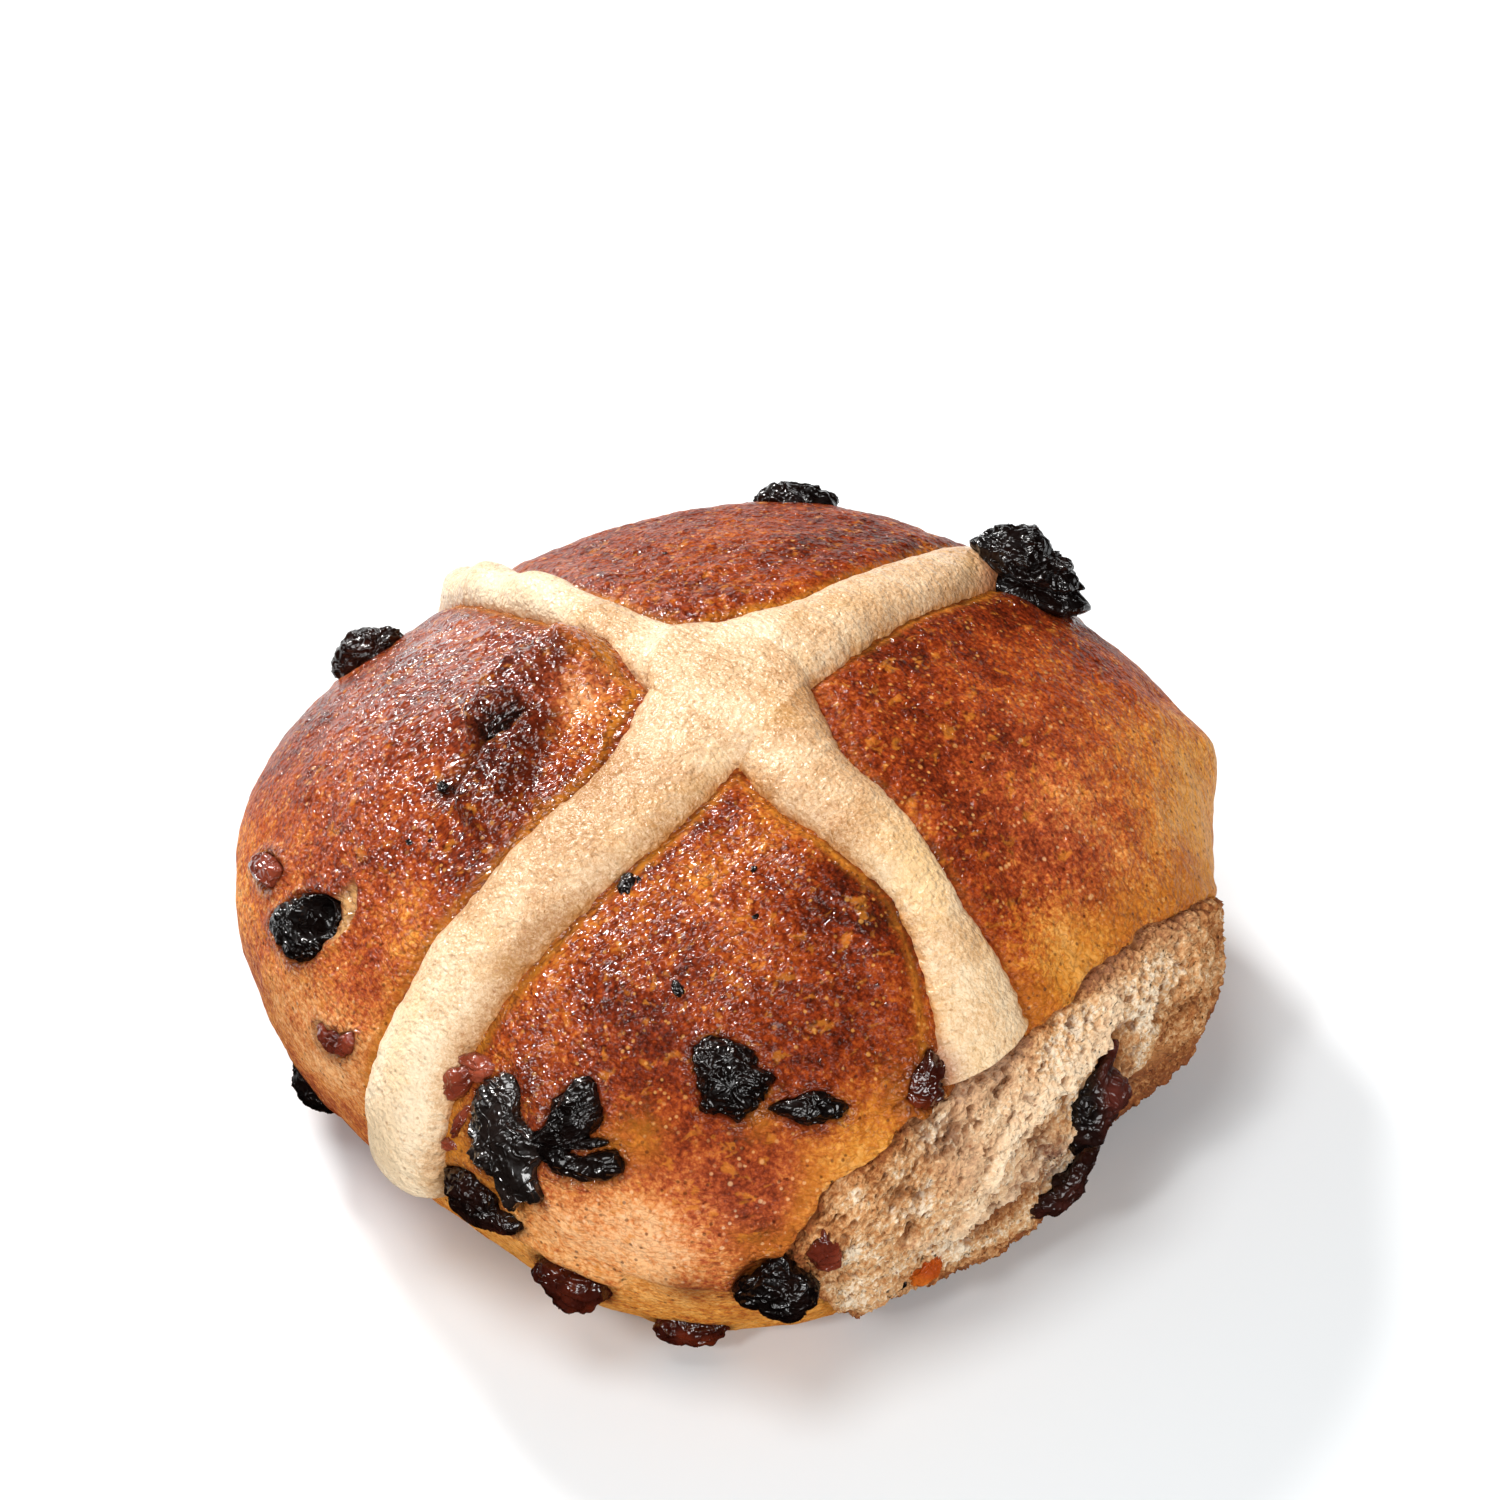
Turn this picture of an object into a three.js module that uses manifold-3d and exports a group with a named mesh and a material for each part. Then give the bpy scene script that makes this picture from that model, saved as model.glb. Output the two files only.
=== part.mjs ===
// A hot cross bun, torn from its neighbour on one side.
// Units are millimetres and +Z is up.  The bun rests on its flat base at z = 0, and the
// origin is the middle of that base's bounding box.  +X points to the torn side, and the
// four arms of the cross run along -Y, +X, +Y and -X.
//
// The body is one solid of crust and crumb, star-shaped about a centre on its axis: each
// direction out of that centre has one radius.  The cross is a piped strip of flour paste
// lying on the crust, and each raisin is a wrinkled lump sitting in a pocket in the crust.

import * as THREE from 'three';
import { mergeVertices } from 'three/addons/utils/BufferGeometryUtils.js';
import Module from 'manifold-3d';

const wasm = await Module();
wasm.setup();

// ---------------------------------------------------------------- driving dimensions (mm)

const BODY = {
  centreZ: 20.38,        // height of the centre that every radius starts from
  toTornSide: 38.43,     // half lengths from the axis
  toClosedSide: 44.15,
  toBack: 47.39,
  toFront: 44.12,
  rise: 23.48,           // from the centre to the top of the dome
  drop: 29.66,           // how deep the lower half would be without the flat base
  planPower: 2.339,      // 2 is an ellipse, more is squarer
  domePower: 1.84,
  lowerPower: 2.296,
  basePower: 12,         // how tightly the side turns into the base
  baseTrim: 0.35,        // cut off below, so that the base is one flat face
  planWaves: [           // [waves round the plan, cosine part, sine part]
    [2, 0.039, -0.006],
    [3, 0.006, -0.015],
    [4, -0.006, 0.009],
  ],
};

// Broad lumps and hollows of the side: azimuth, elevation (degrees), reach, height (mm).
const LUMPS = [
  { azimuth: 64, elevation: 4, reach: 7, height: 1.1 },      // pale shoulder at the back
  { azimuth: 49, elevation: 0.5, reach: 8, height: -1.5 },   // flat below the shoulder
  { azimuth: 31, elevation: -11, reach: 7, height: 2.0 },    // end of the torn crumb
  { azimuth: 21, elevation: -16, reach: 7, height: -2.0 },   // hollow under the crumb
  { azimuth: -7, elevation: -21, reach: 7, height: 0.7 },
  { azimuth: -30, elevation: -22, reach: 7, height: -0.5 },
  { azimuth: -179, elevation: 11, reach: 7, height: -0.6 },
  { azimuth: -147, elevation: 44, reach: 5.5, height: 1.6 }, // raisin under the crust
  { azimuth: -166, elevation: 50, reach: 4.5, height: 0.9 }, // the same hump's upper end
];

// The torn side: bare crumb between an upper and a lower edge.
const TEAR = {
  halfLength: 28, upperZ: 30.1, upperFall: 8, upperPower: 4,
  lowerZ: 6.5, lowerRise: 8.5, lowerPower: 2.5,
  recess: 0.8, blend: 1.6, lumps: 0.45,
};

// The cross.  Each arm runs in the vertical plane of its direction, moved sideways.
// A station gives: angle down from the vertical (degrees), sideways offset, half width,
// ridge height (mm).  Sideways is measured along the arm's side vector.
const STRIP = { gap: 0.5, edge: 0.45, profileA: 2.2, profileB: 0.6, across: 6, rowsPerStation: 1.5 };
const CORNER = {         // where the strips meet, in plan
  frontTorn: [3.9, -5.6], frontClosed: [-8.9, -4.0],
  backTorn: [1.5, 6.5], backClosed: [-11.8, 5.2],
};
const ARMS = {
  front: {
    direction: [0, -1], side: [1, 0], roundEnd: true,
    stations: [[30, -0.7, 5.2, 1.9], [48, -1.5, 5.0, 2.1], [65, -2.5, 4.8, 2.2],
      [80, -2.5, 4.7, 2.3], [91, -2.2, 5.0, 2.4], [101, -2.2, 4.8, 2.1]],
  },
  torn: {
    direction: [1, 0], side: [0, -1], roundEnd: false,
    stations: [[22, 2.0, 4.6, 1.9], [37, 1.8, 4.0, 1.8], [48, 2.0, 3.2, 1.7],
      [57, 3.4, 3.0, 1.7], [66, 5.0, 3.8, 1.7], [74, 7.2, 4.6, 1.6]],
  },
  back: {
    direction: [0, 1], side: [1, 0], roundEnd: true,
    stations: [[29, -3.6, 4.5, 1.9], [44, -3.8, 3.9, 2.0], [57, -4.1, 3.7, 2.0],
      [68, -5.0, 3.6, 1.8], [78, -5.8, 3.5, 1.5]],
  },
  closed: {
    direction: [-1, 0], side: [0, -1], roundEnd: true,
    stations: [[34, -1.0, 3.3, 1.9], [46, -1.25, 2.7, 2.2], [59, -1.5, 2.6, 2.3],
      [70, -2.8, 2.7, 2.4], [79, -5.0, 2.7, 2.3], [88, -6.8, 3.0, 2.1], [96, -7.6, 3.0, 1.9]],
  },
};

// Raisins and peel.  Each lies where its azimuth and elevation meet the crust: size is its
// length, width and thickness, roll turns its length from the level direction up the slope,
// and lift moves its middle out of the crust (mm, degrees).
const POCKET_GAP = 0.45;
const PIECES = [
  { name: 'raisin_front', at: [-48.8, 20.6], size: [8.0, 6.7, 4.6], roll: -71, lift: -0.9, kind: 'black' },
  { name: 'raisin_front_lens', at: [-37.2, 16.7], size: [7.2, 3.9, 3.6], roll: -10, lift: -0.6, kind: 'black' },
  { name: 'raisin_by_cross', at: [-21.6, 16.2], size: [5.8, 3.6, 3.6], roll: 53, lift: -0.6, kind: 'amber' },
  { name: 'raisin_corner', at: [-43.4, -4.7], size: [7.2, 6.8, 6.4], roll: -8, lift: 0.5, kind: 'black' },
  { name: 'raisin_corner_red', at: [-36.6, -0.6], size: [4.4, 2.8, 3.0], roll: -90, lift: -0.7, kind: 'amber' },
  { name: 'raisin_front_left_a', at: [-78.6, 7.0], size: [11.4, 5.6, 4.6], roll: -52, lift: -0.8, kind: 'black' },
  { name: 'raisin_front_left_b', at: [-67.0, 12.4], size: [9.0, 6.4, 4.6], roll: -74, lift: -0.8, kind: 'black' },
  { name: 'raisin_below_left', at: [-80.4, -4.9], size: [9.0, 4.6, 4.6], roll: -13, lift: -0.6, kind: 'black' },
  { name: 'raisin_left_crater', at: [-121.7, 9.4], size: [8.4, 7.2, 5.4], roll: 78, lift: -1.5, kind: 'black' },
  { name: 'raisin_left_chip', at: [-132.4, 9.6], size: [4.0, 3.2, 3.0], roll: 15, lift: -0.4, kind: 'amber' },
  { name: 'raisin_left_lower', at: [-107.6, 2.6], size: [5.4, 5.0, 4.2], roll: 23, lift: -1.0, kind: 'amber' },
  { name: 'raisin_left_bottom', at: [-119, -17], size: [6.4, 4.5, 4.0], roll: -38, lift: -0.5, kind: 'black' },
  { name: 'raisin_bottom_amber', at: [-68.2, -11.8], size: [7.2, 6.2, 5.4], roll: -13, lift: -0.3, kind: 'amber' },
  { name: 'raisin_bottom_edge', at: [-54, -21.5], size: [6.6, 4.6, 4.2], roll: -6, lift: -0.5, kind: 'amber' },
  { name: 'raisin_left_back', at: [-170, 10], size: [6.8, 5.4, 5.0], roll: -31, lift: 0.3, kind: 'black' },
  { name: 'raisin_back_top', at: [128, 11.5], size: [8.0, 6.0, 5.0], roll: 3, lift: -0.3, kind: 'black' },
  { name: 'raisin_top_right', at: [96.3, 10.6], size: [12.4, 8.6, 6.2], roll: 30, lift: 0.9, kind: 'black' },
  { name: 'raisin_crumb', at: [5.2, -1.6], size: [11.6, 4.8, 4.8], roll: 47, lift: -1.4, kind: 'black' },
  { name: 'raisin_base_right', at: [0.5, -14.5], size: [9.2, 6.0, 5.6], roll: 6, lift: -0.7, kind: 'amber' },
  { name: 'peel_bottom', at: [-23.3, -14.5], size: [3.8, 2.9, 2.6], roll: 58, lift: -0.3, kind: 'peel' },
  { name: 'raisin_rear_left', at: [-173, -8], size: [7.4, 6.0, 4.6], roll: 20, lift: -0.7, kind: 'black' },
  { name: 'raisin_rear_low', at: [146, -15], size: [6.4, 5.2, 4.4], roll: -30, lift: -0.7, kind: 'amber' },
  { name: 'raisin_rear_mid', at: [108, -9], size: [5.2, 4.6, 3.8], roll: 70, lift: -0.5, kind: 'black' },
  { name: 'raisin_rear_right', at: [73, -12], size: [8.0, 6.0, 4.8], roll: 50, lift: -0.9, kind: 'black' },
];

// The plan middle of the whole bun's bounding box, taken off every x and y.
const PLAN_MIDDLE = [-3.3, 1.03];

const FACETS = { body: 10, large: 2, small: 1, smallBelow: 8.3 };

const LOOKS = {
  bun: { color: 0x8f431c, roughness: 0.42 },
  cross: { color: 0xeccf9c, roughness: 0.7 },
  black: { color: 0x17100e, roughness: 0.3 },
  amber: { color: 0x4a1c10, roughness: 0.25 },
  peel: { color: 0xb4541a, roughness: 0.35 },
};

// ---------------------------------------------------------------- small helpers

const rad = THREE.MathUtils.degToRad;
const clamp = THREE.MathUtils.clamp;
const smooth = (a, b, v) => { const t = clamp((v - a) / (b - a), 0, 1); return t * t * (3 - 2 * t); };
const CENTRE = new THREE.Vector3(0, 0, BODY.centreZ);

function direction(azimuth, elevation) {
  const a = rad(azimuth), e = rad(elevation);
  return new THREE.Vector3(Math.cos(e) * Math.cos(a), Math.cos(e) * Math.sin(a), Math.sin(e));
}

// Catmull-Rom through rows of numbers, at t from 0 to rows.length - 1.
function along(rows, t) {
  const n = rows.length - 1, i = clamp(Math.floor(t), 0, n - 1), f = t - i;
  const p = [rows[Math.max(i - 1, 0)], rows[i], rows[i + 1], rows[Math.min(i + 2, n)]];
  return rows[0].map((_, k) => {
    const [a, b, c, d] = p.map((r) => r[k]);
    return 0.5 * (2 * b + (c - a) * f + (2 * a - 5 * b + 4 * c - d) * f * f + (3 * b - a - 3 * c + d) * f * f * f);
  });
}

// ---------------------------------------------------------------- the body's surface

function plainRadius(d) {
  const ax = d.x > 0 ? BODY.toTornSide : BODY.toClosedSide;
  const ay = d.y > 0 ? BODY.toBack : BODY.toFront;
  const az = d.z > 0 ? BODY.rise : BODY.drop;
  const m = d.z > 0 ? BODY.domePower : BODY.lowerPower;
  const n = BODY.planPower;
  const plan = (Math.abs(d.x / ax) ** n + Math.abs(d.y / ay) ** n) ** (1 / n);
  let r = (plan ** m + Math.abs(d.z / az) ** m) ** (-1 / m);
  const phi = Math.atan2(d.y, d.x), level = d.x * d.x + d.y * d.y;
  let wave = 0;
  for (const [k, c, s] of BODY.planWaves) wave += c * Math.cos(k * phi) + s * Math.sin(k * phi);
  r *= 1 + wave * level;
  if (d.z < 0) {
    const k = BODY.basePower, floor = BODY.centreZ / Math.max(-d.z, 1e-6);
    r = (r ** -k + floor ** -k) ** (-1 / k);
  }
  for (const l of LUMPS) {
    const chord = 2 - 2 * d.dot(direction(l.azimuth, l.elevation));
    r += l.height * Math.exp(-chord / (2 * (l.reach / 42) ** 2));
  }
  return r;
}

// 1 on the bare crumb of the torn side, 0 on the crust.
function tearMask(d, r) {
  const y = d.y * r, z = BODY.centreZ + d.z * r;
  if (d.x <= 0) return 0;
  const q = Math.abs(y) / TEAR.halfLength;
  const upper = TEAR.upperZ - TEAR.upperFall * q ** TEAR.upperPower;
  const lower = TEAR.lowerZ + TEAR.lowerRise * q ** TEAR.lowerPower;
  return smooth(upper, upper - TEAR.blend, z) * smooth(lower, lower + TEAR.blend, z)
    * smooth(1.02, 0.96, q);
}

function bodyRadius(d) {
  const r = plainRadius(d);
  const lumps = Math.sin(0.62 * d.y * r + 0.7) * Math.sin(0.55 * d.z * r + 1.3);
  return r + (TEAR.lumps * lumps - TEAR.recess) * tearMask(d, r);
}

const onCrust = (d, lift = 0) => d.clone().multiplyScalar(bodyRadius(d) + lift).add(CENTRE);

function crustNormal(d) {
  const a = new THREE.Vector3(0, 0, 1).cross(d).normalize(), b = d.clone().cross(a), e = 0.03;
  const at = (u, v) => {
    const q = d.clone().addScaledVector(a, u).addScaledVector(b, v).normalize();
    return q.multiplyScalar(plainRadius(q));
  };
  return at(e, 0).sub(at(-e, 0)).cross(at(0, e).sub(at(0, -e))).normalize();
}

// ---------------------------------------------------------------- solids

function indexed(geometry) {
  const g = geometry.clone();
  for (const name of Object.keys(g.attributes)) if (name !== 'position') g.deleteAttribute(name);
  return mergeVertices(g, 1e-5);
}

function toSolid(geometry) {
  return new wasm.Manifold(new wasm.Mesh({
    numProp: 3,
    vertProperties: new Float32Array(geometry.attributes.position.array),
    triVerts: new Uint32Array(geometry.index.array),
  }));
}

function fromSolid(solid) {
  const mesh = solid.getMesh();
  const g = new THREE.BufferGeometry();
  g.setAttribute('position', new THREE.Float32BufferAttribute(mesh.vertProperties, 3));
  g.setIndex(new THREE.Uint32BufferAttribute(mesh.triVerts, 1));
  return g;
}

function bodyGeometry() {
  const g = indexed(new THREE.IcosahedronGeometry(1, FACETS.body));
  const p = g.attributes.position, d = new THREE.Vector3();
  for (let i = 0; i < p.count; i++) {
    d.fromBufferAttribute(p, i).normalize();
    const q = onCrust(d);
    p.setXYZ(i, q.x, q.y, Math.max(q.z, BODY.baseTrim));
  }
  return g;
}

// A wrinkled lump, with its length, width and thickness along x, y and z.
function lumpGeometry(piece, seed, grow) {
  const small = Math.max(...piece.size) < FACETS.smallBelow;
  const g = indexed(new THREE.IcosahedronGeometry(1, small ? FACETS.small : FACETS.large));
  const half = piece.size.map((v) => v / 2);
  const waves = [[3.1, 0.07], [4.3, 0.055], [5.7, 0.04]].map(([k, amount], i) => {
    const a = seed * 2.399 + i * 2.1, e = Math.sin(seed * 1.7 + i) * 0.9;
    return { k, amount, phase: seed + i, v: new THREE.Vector3(Math.cos(a) * Math.cos(e), Math.sin(a) * Math.cos(e), Math.sin(e)) };
  });
  const p = g.attributes.position, u = new THREE.Vector3();
  for (let i = 0; i < p.count; i++) {
    u.fromBufferAttribute(p, i).normalize();
    let k = 1;
    for (const w of waves) k += w.amount * Math.sin(w.k * u.dot(w.v) + w.phase);
    const out = new THREE.Vector3(u.x / half[0], u.y / half[1], u.z / half[2]).normalize().multiplyScalar(grow);
    p.setXYZ(i, half[0] * u.x * k + out.x, half[1] * u.y * k + out.y, half[2] * u.z * k + out.z);
  }
  return g;
}

function placing(piece) {
  const d = direction(...piece.at), normal = crustNormal(d);
  const level = new THREE.Vector3(0, 0, 1).cross(normal).normalize();
  const up = normal.clone().cross(level);
  const roll = rad(piece.roll);
  const x = level.clone().multiplyScalar(Math.cos(roll)).addScaledVector(up, Math.sin(roll));
  const y = normal.clone().cross(x);
  const position = d.clone().multiplyScalar(plainRadius(d)).add(CENTRE).addScaledVector(normal, piece.lift);
  const quaternion = new THREE.Quaternion().setFromRotationMatrix(new THREE.Matrix4().makeBasis(x, y, normal));
  return { position, quaternion, matrix: new THREE.Matrix4().compose(position, quaternion, new THREE.Vector3(1, 1, 1)) };
}

// ---------------------------------------------------------------- the cross

function planDirection(x, y) {
  let z = BODY.rise;
  for (let i = 0; i < 40; i++) {
    const r = bodyRadius(new THREE.Vector3(x, y, z).normalize());
    z = 0.5 * z + 0.5 * Math.sqrt(Math.max(r * r - x * x - y * y, 1));
  }
  return new THREE.Vector3(x, y, z).normalize();
}

function armDirection(arm, angle, offset) {
  const t = rad(angle), run = 40 * Math.sin(t), up = 40 * Math.cos(t);
  const k = plainRadius(new THREE.Vector3(arm.direction[0] * Math.sin(t), arm.direction[1] * Math.sin(t), Math.cos(t))) / 40;
  return new THREE.Vector3(
    arm.direction[0] * run * k + arm.side[0] * offset,
    arm.direction[1] * run * k + arm.side[1] * offset, up * k).normalize();
}

const ridge = (q) => Math.max(0, 1 - Math.abs(q) ** STRIP.profileA) ** STRIP.profileB;

function crossGeometry() {
  const n = STRIP.across, verts = [], faces = [];
  // every point of the outline is kept as a direction and a ridge height
  const point = (d, height) => { verts.push({ d, height }); return verts.length - 1; };
  const spread = (i) => Math.sin((i / n - 0.5) * Math.PI * 0.96) / Math.sin(Math.PI * 0.48);
  const corner = Object.fromEntries(Object.entries(CORNER).map(([k, [x, y]]) => [k, planDirection(x, y)]));

  // the middle patch, bounded by the four corners
  const patch = [];
  for (let j = 0; j <= n; j++) {
    patch.push([]);
    for (let i = 0; i <= n; i++) {
      const qi = spread(i), qj = spread(j), u = (qi + 1) / 2, v = (qj + 1) / 2;
      const d = corner.frontClosed.clone().multiplyScalar((1 - u) * (1 - v))
        .addScaledVector(corner.frontTorn, u * (1 - v))
        .addScaledVector(corner.backClosed, (1 - u) * v)
        .addScaledVector(corner.backTorn, u * v).normalize();
      patch[j].push(point(d, 1.95 * (1 - (1 - ridge(qi)) * (1 - ridge(qj)))));
    }
  }
  const cell = (a, b, c, d) => faces.push([a, b, c], [a, c, d]);
  for (let j = 0; j < n; j++) for (let i = 0; i < n; i++) cell(patch[j][i], patch[j][i + 1], patch[j + 1][i + 1], patch[j + 1][i]);

  // an arm starts on one side of the patch, listed from its far edge to its near edge
  const range = [...Array(n + 1).keys()];
  const starts = {
    front: range.map((i) => patch[0][i]),
    back: range.map((i) => patch[n][i]),
    torn: range.map((i) => patch[n - i][n]),
    closed: range.map((i) => patch[n - i][0]),
  };
  const flipped = { front: true, back: false, torn: false, closed: true };
  for (const [name, arm] of Object.entries(ARMS)) {
    const start = starts[name];
    const cornerRow = (index) => {
      const d = verts[index].d, q = d.clone().multiplyScalar(plainRadius(d));
      return [THREE.MathUtils.radToDeg(Math.atan2(q.x * arm.direction[0] + q.y * arm.direction[1], q.z)),
        q.x * arm.side[0] + q.y * arm.side[1]];
    };
    const far = [cornerRow(start[0]), ...arm.stations.map(([a, b, w]) => [a, b - w])];
    const near = [cornerRow(start[n]), ...arm.stations.map(([a, b, w]) => [a, b + w])];
    const heights = [[1.95], ...arm.stations.map((s) => [s[3]])];
    const rows = Math.round(STRIP.rowsPerStation * (far.length - 1));
    let previous = start;
    for (let k = 1; k <= rows; k++) {
      // rows gather towards a rounded end
      const share = arm.roundEnd ? 1 - (1 - k / rows) ** 1.25 : k / rows;
      const t = share * (far.length - 1);
      const f = along(far, t), m = along(near, t), h = along(heights, t)[0];
      const left = (1 - share) * (far.length - 1);
      const shrink = arm.roundEnd ? Math.sqrt(Math.max(0.1, 1 - Math.max(0, 1 - left / 0.55) ** 2.2)) : 1;
      const row = range.map((i) => {
        const q = spread(i), s = (q * shrink + 1) / 2;
        const d = armDirection(arm, f[0] * (1 - s) + m[0] * s, f[1] * (1 - s) + m[1] * s);
        return point(d, h * ridge(q) * (0.35 + 0.65 * shrink));
      });
      for (let i = 0; i < n; i++) {
        if (flipped[name]) cell(row[i], row[i + 1], previous[i + 1], previous[i]);
        else cell(previous[i], previous[i + 1], row[i + 1], row[i]);
      }
      previous = row;
    }
  }

  // close it: a lower skin just off the crust, and a wall along the open edges
  const count = verts.length, position = new Float32Array(count * 6), index = [];
  verts.forEach(({ d, height }, i) => {
    const low = onCrust(d, STRIP.gap), high = onCrust(d, STRIP.gap + STRIP.edge + height);
    position.set(high.toArray(), i * 3);
    position.set(low.toArray(), (count + i) * 3);
  });
  const open = new Map();
  for (const [a, b, c] of faces) {
    index.push(a, b, c, count + a, count + c, count + b);
    for (const [u, v] of [[a, b], [b, c], [c, a]]) {
      if (open.has(`${v},${u}`)) open.delete(`${v},${u}`); else open.set(`${u},${v}`, [u, v]);
    }
  }
  for (const [u, v] of open.values()) index.push(v, u, count + u, v, count + u, count + v);
  const g = new THREE.BufferGeometry();
  g.setAttribute('position', new THREE.BufferAttribute(position, 3));
  g.setIndex(index);
  return g;
}

// ---------------------------------------------------------------- assembly

const material = (look) => new THREE.MeshStandardMaterial({ metalness: 0, ...LOOKS[look] });
const group = new THREE.Group();
group.position.set(-PLAN_MIDDLE[0], -PLAN_MIDDLE[1], -BODY.baseTrim);

let bun = toSolid(bodyGeometry());
let cross = toSolid(crossGeometry());

PIECES.forEach((piece, i) => {
  const place = placing(piece);
  const pocket = toSolid(lumpGeometry(piece, i + 1, POCKET_GAP).applyMatrix4(place.matrix));
  bun = bun.subtract(pocket);
  if (!cross.intersect(pocket).isEmpty()) cross = cross.subtract(pocket);
  const mesh = new THREE.Mesh(lumpGeometry(piece, i + 1, 0), material(piece.kind));
  mesh.name = piece.name;
  mesh.position.copy(place.position);
  mesh.quaternion.copy(place.quaternion);
  group.add(mesh);
});

for (const [name, solid] of [['bun', bun], ['cross', cross]]) {
  const mesh = new THREE.Mesh(fromSolid(solid), material(name));
  mesh.name = name;
  group.add(mesh);
}

export default group;
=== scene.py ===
import math

import bpy
import numpy as np
from mathutils import Matrix, Vector


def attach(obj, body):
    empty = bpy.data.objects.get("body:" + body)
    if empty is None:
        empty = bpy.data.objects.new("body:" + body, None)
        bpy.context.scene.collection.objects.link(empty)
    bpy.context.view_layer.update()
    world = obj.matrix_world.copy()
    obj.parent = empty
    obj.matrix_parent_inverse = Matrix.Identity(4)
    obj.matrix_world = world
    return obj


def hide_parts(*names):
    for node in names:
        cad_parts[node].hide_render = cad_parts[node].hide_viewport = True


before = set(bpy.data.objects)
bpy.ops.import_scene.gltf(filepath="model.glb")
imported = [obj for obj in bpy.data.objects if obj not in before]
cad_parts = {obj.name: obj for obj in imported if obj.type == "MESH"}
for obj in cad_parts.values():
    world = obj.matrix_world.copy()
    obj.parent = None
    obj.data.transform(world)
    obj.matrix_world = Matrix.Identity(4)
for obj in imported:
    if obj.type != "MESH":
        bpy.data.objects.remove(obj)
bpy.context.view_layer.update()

MM = 0.001
SHIFT = np.array([3.3, -1.03, -0.35])   # from the bun's own axis to the part's frame, mm
BASE = 0.35                             # the flat base in the bun's own frame, mm

# =========================================================== the bun's measures (mm, degrees)

CZ = 20.38
LUMPS = [(64, 4, 7, 1.1), (49, .5, 8, -1.5), (31, -11, 7, 2.0), (21, -16, 7, -2.0), (-7, -21, 7, .7),
         (-30, -22, 7, -.5), (-179, 11, 7, -.6), (-147, 44, 5.5, 1.6), (-166, 50, 4.5, .9)]
WAVES = [(2, .039, -.006), (3, .006, -.015), (4, -.006, .009)]

# upper and lower edge of the torn side: (y, z)
TEAR_UP = [(-29.5, 20.0), (-28.1, 22.6), (-25.5, 26.0), (-20.9, 27.4), (-16.6, 29.1), (-12.3, 29.5), (-3.9, 29.9),
           (1.1, 30.3), (5.3, 30.2), (10.2, 30.2), (16.0, 28.9), (22.0, 26.4), (26.1, 24.0), (29.5, 20.6), (31.5, 17.6)]
TEAR_LOW = [(-29.5, 19.6), (-27.4, 14.8), (-24.0, 9.4), (-21.0, 5.8), (-18.5, 3.2), (-13.0, 1.7), (-5.0, 1.4), (3.0, 1.4),
            (10.0, 1.4), (16.0, 1.8), (21.0, 2.8), (24.4, 4.2), (27.7, 7.4), (31.5, 13.6)]

CORNER = {"ft": (3.9, -5.6), "fc": (-8.9, -4.0), "bt": (1.5, 6.5), "bc": (-11.8, 5.2)}
ARMS = {
    "front": ((0, -1), (1, 0), True, [(30, -0.7, 5.2, 1.9), (48, -1.5, 5.0, 2.1), (65, -2.5, 4.8, 2.2),
              (80, -2.5, 4.7, 2.3), (91, -2.2, 5.0, 2.4), (101, -2.2, 4.8, 2.1)]),
    "torn": ((1, 0), (0, -1), False, [(22, 2.0, 4.6, 1.9), (37, 1.8, 4.0, 1.8), (48, 2.0, 3.2, 1.7),
             (57, 3.4, 3.3, 1.7), (66, 5.0, 4.6, 1.7), (74, 7.2, 5.7, 1.6)]),
    "back": ((0, 1), (1, 0), True, [(29, -3.6, 4.5, 1.9), (44, -3.8, 3.9, 2.0), (57, -4.1, 3.7, 2.0),
             (68, -5.0, 3.6, 1.8), (75, -5.6, 3.5, 1.4)]),
    "closed": ((-1, 0), (0, -1), True, [(34, -1.0, 3.3, 1.9), (46, -1.25, 2.7, 2.2), (59, -1.5, 2.6, 2.3),
               (70, -2.8, 2.7, 2.4), (79, -5.0, 2.7, 2.3), (88, -6.8, 3.0, 2.1), (96, -7.6, 3.0, 1.9)]),
}

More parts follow.
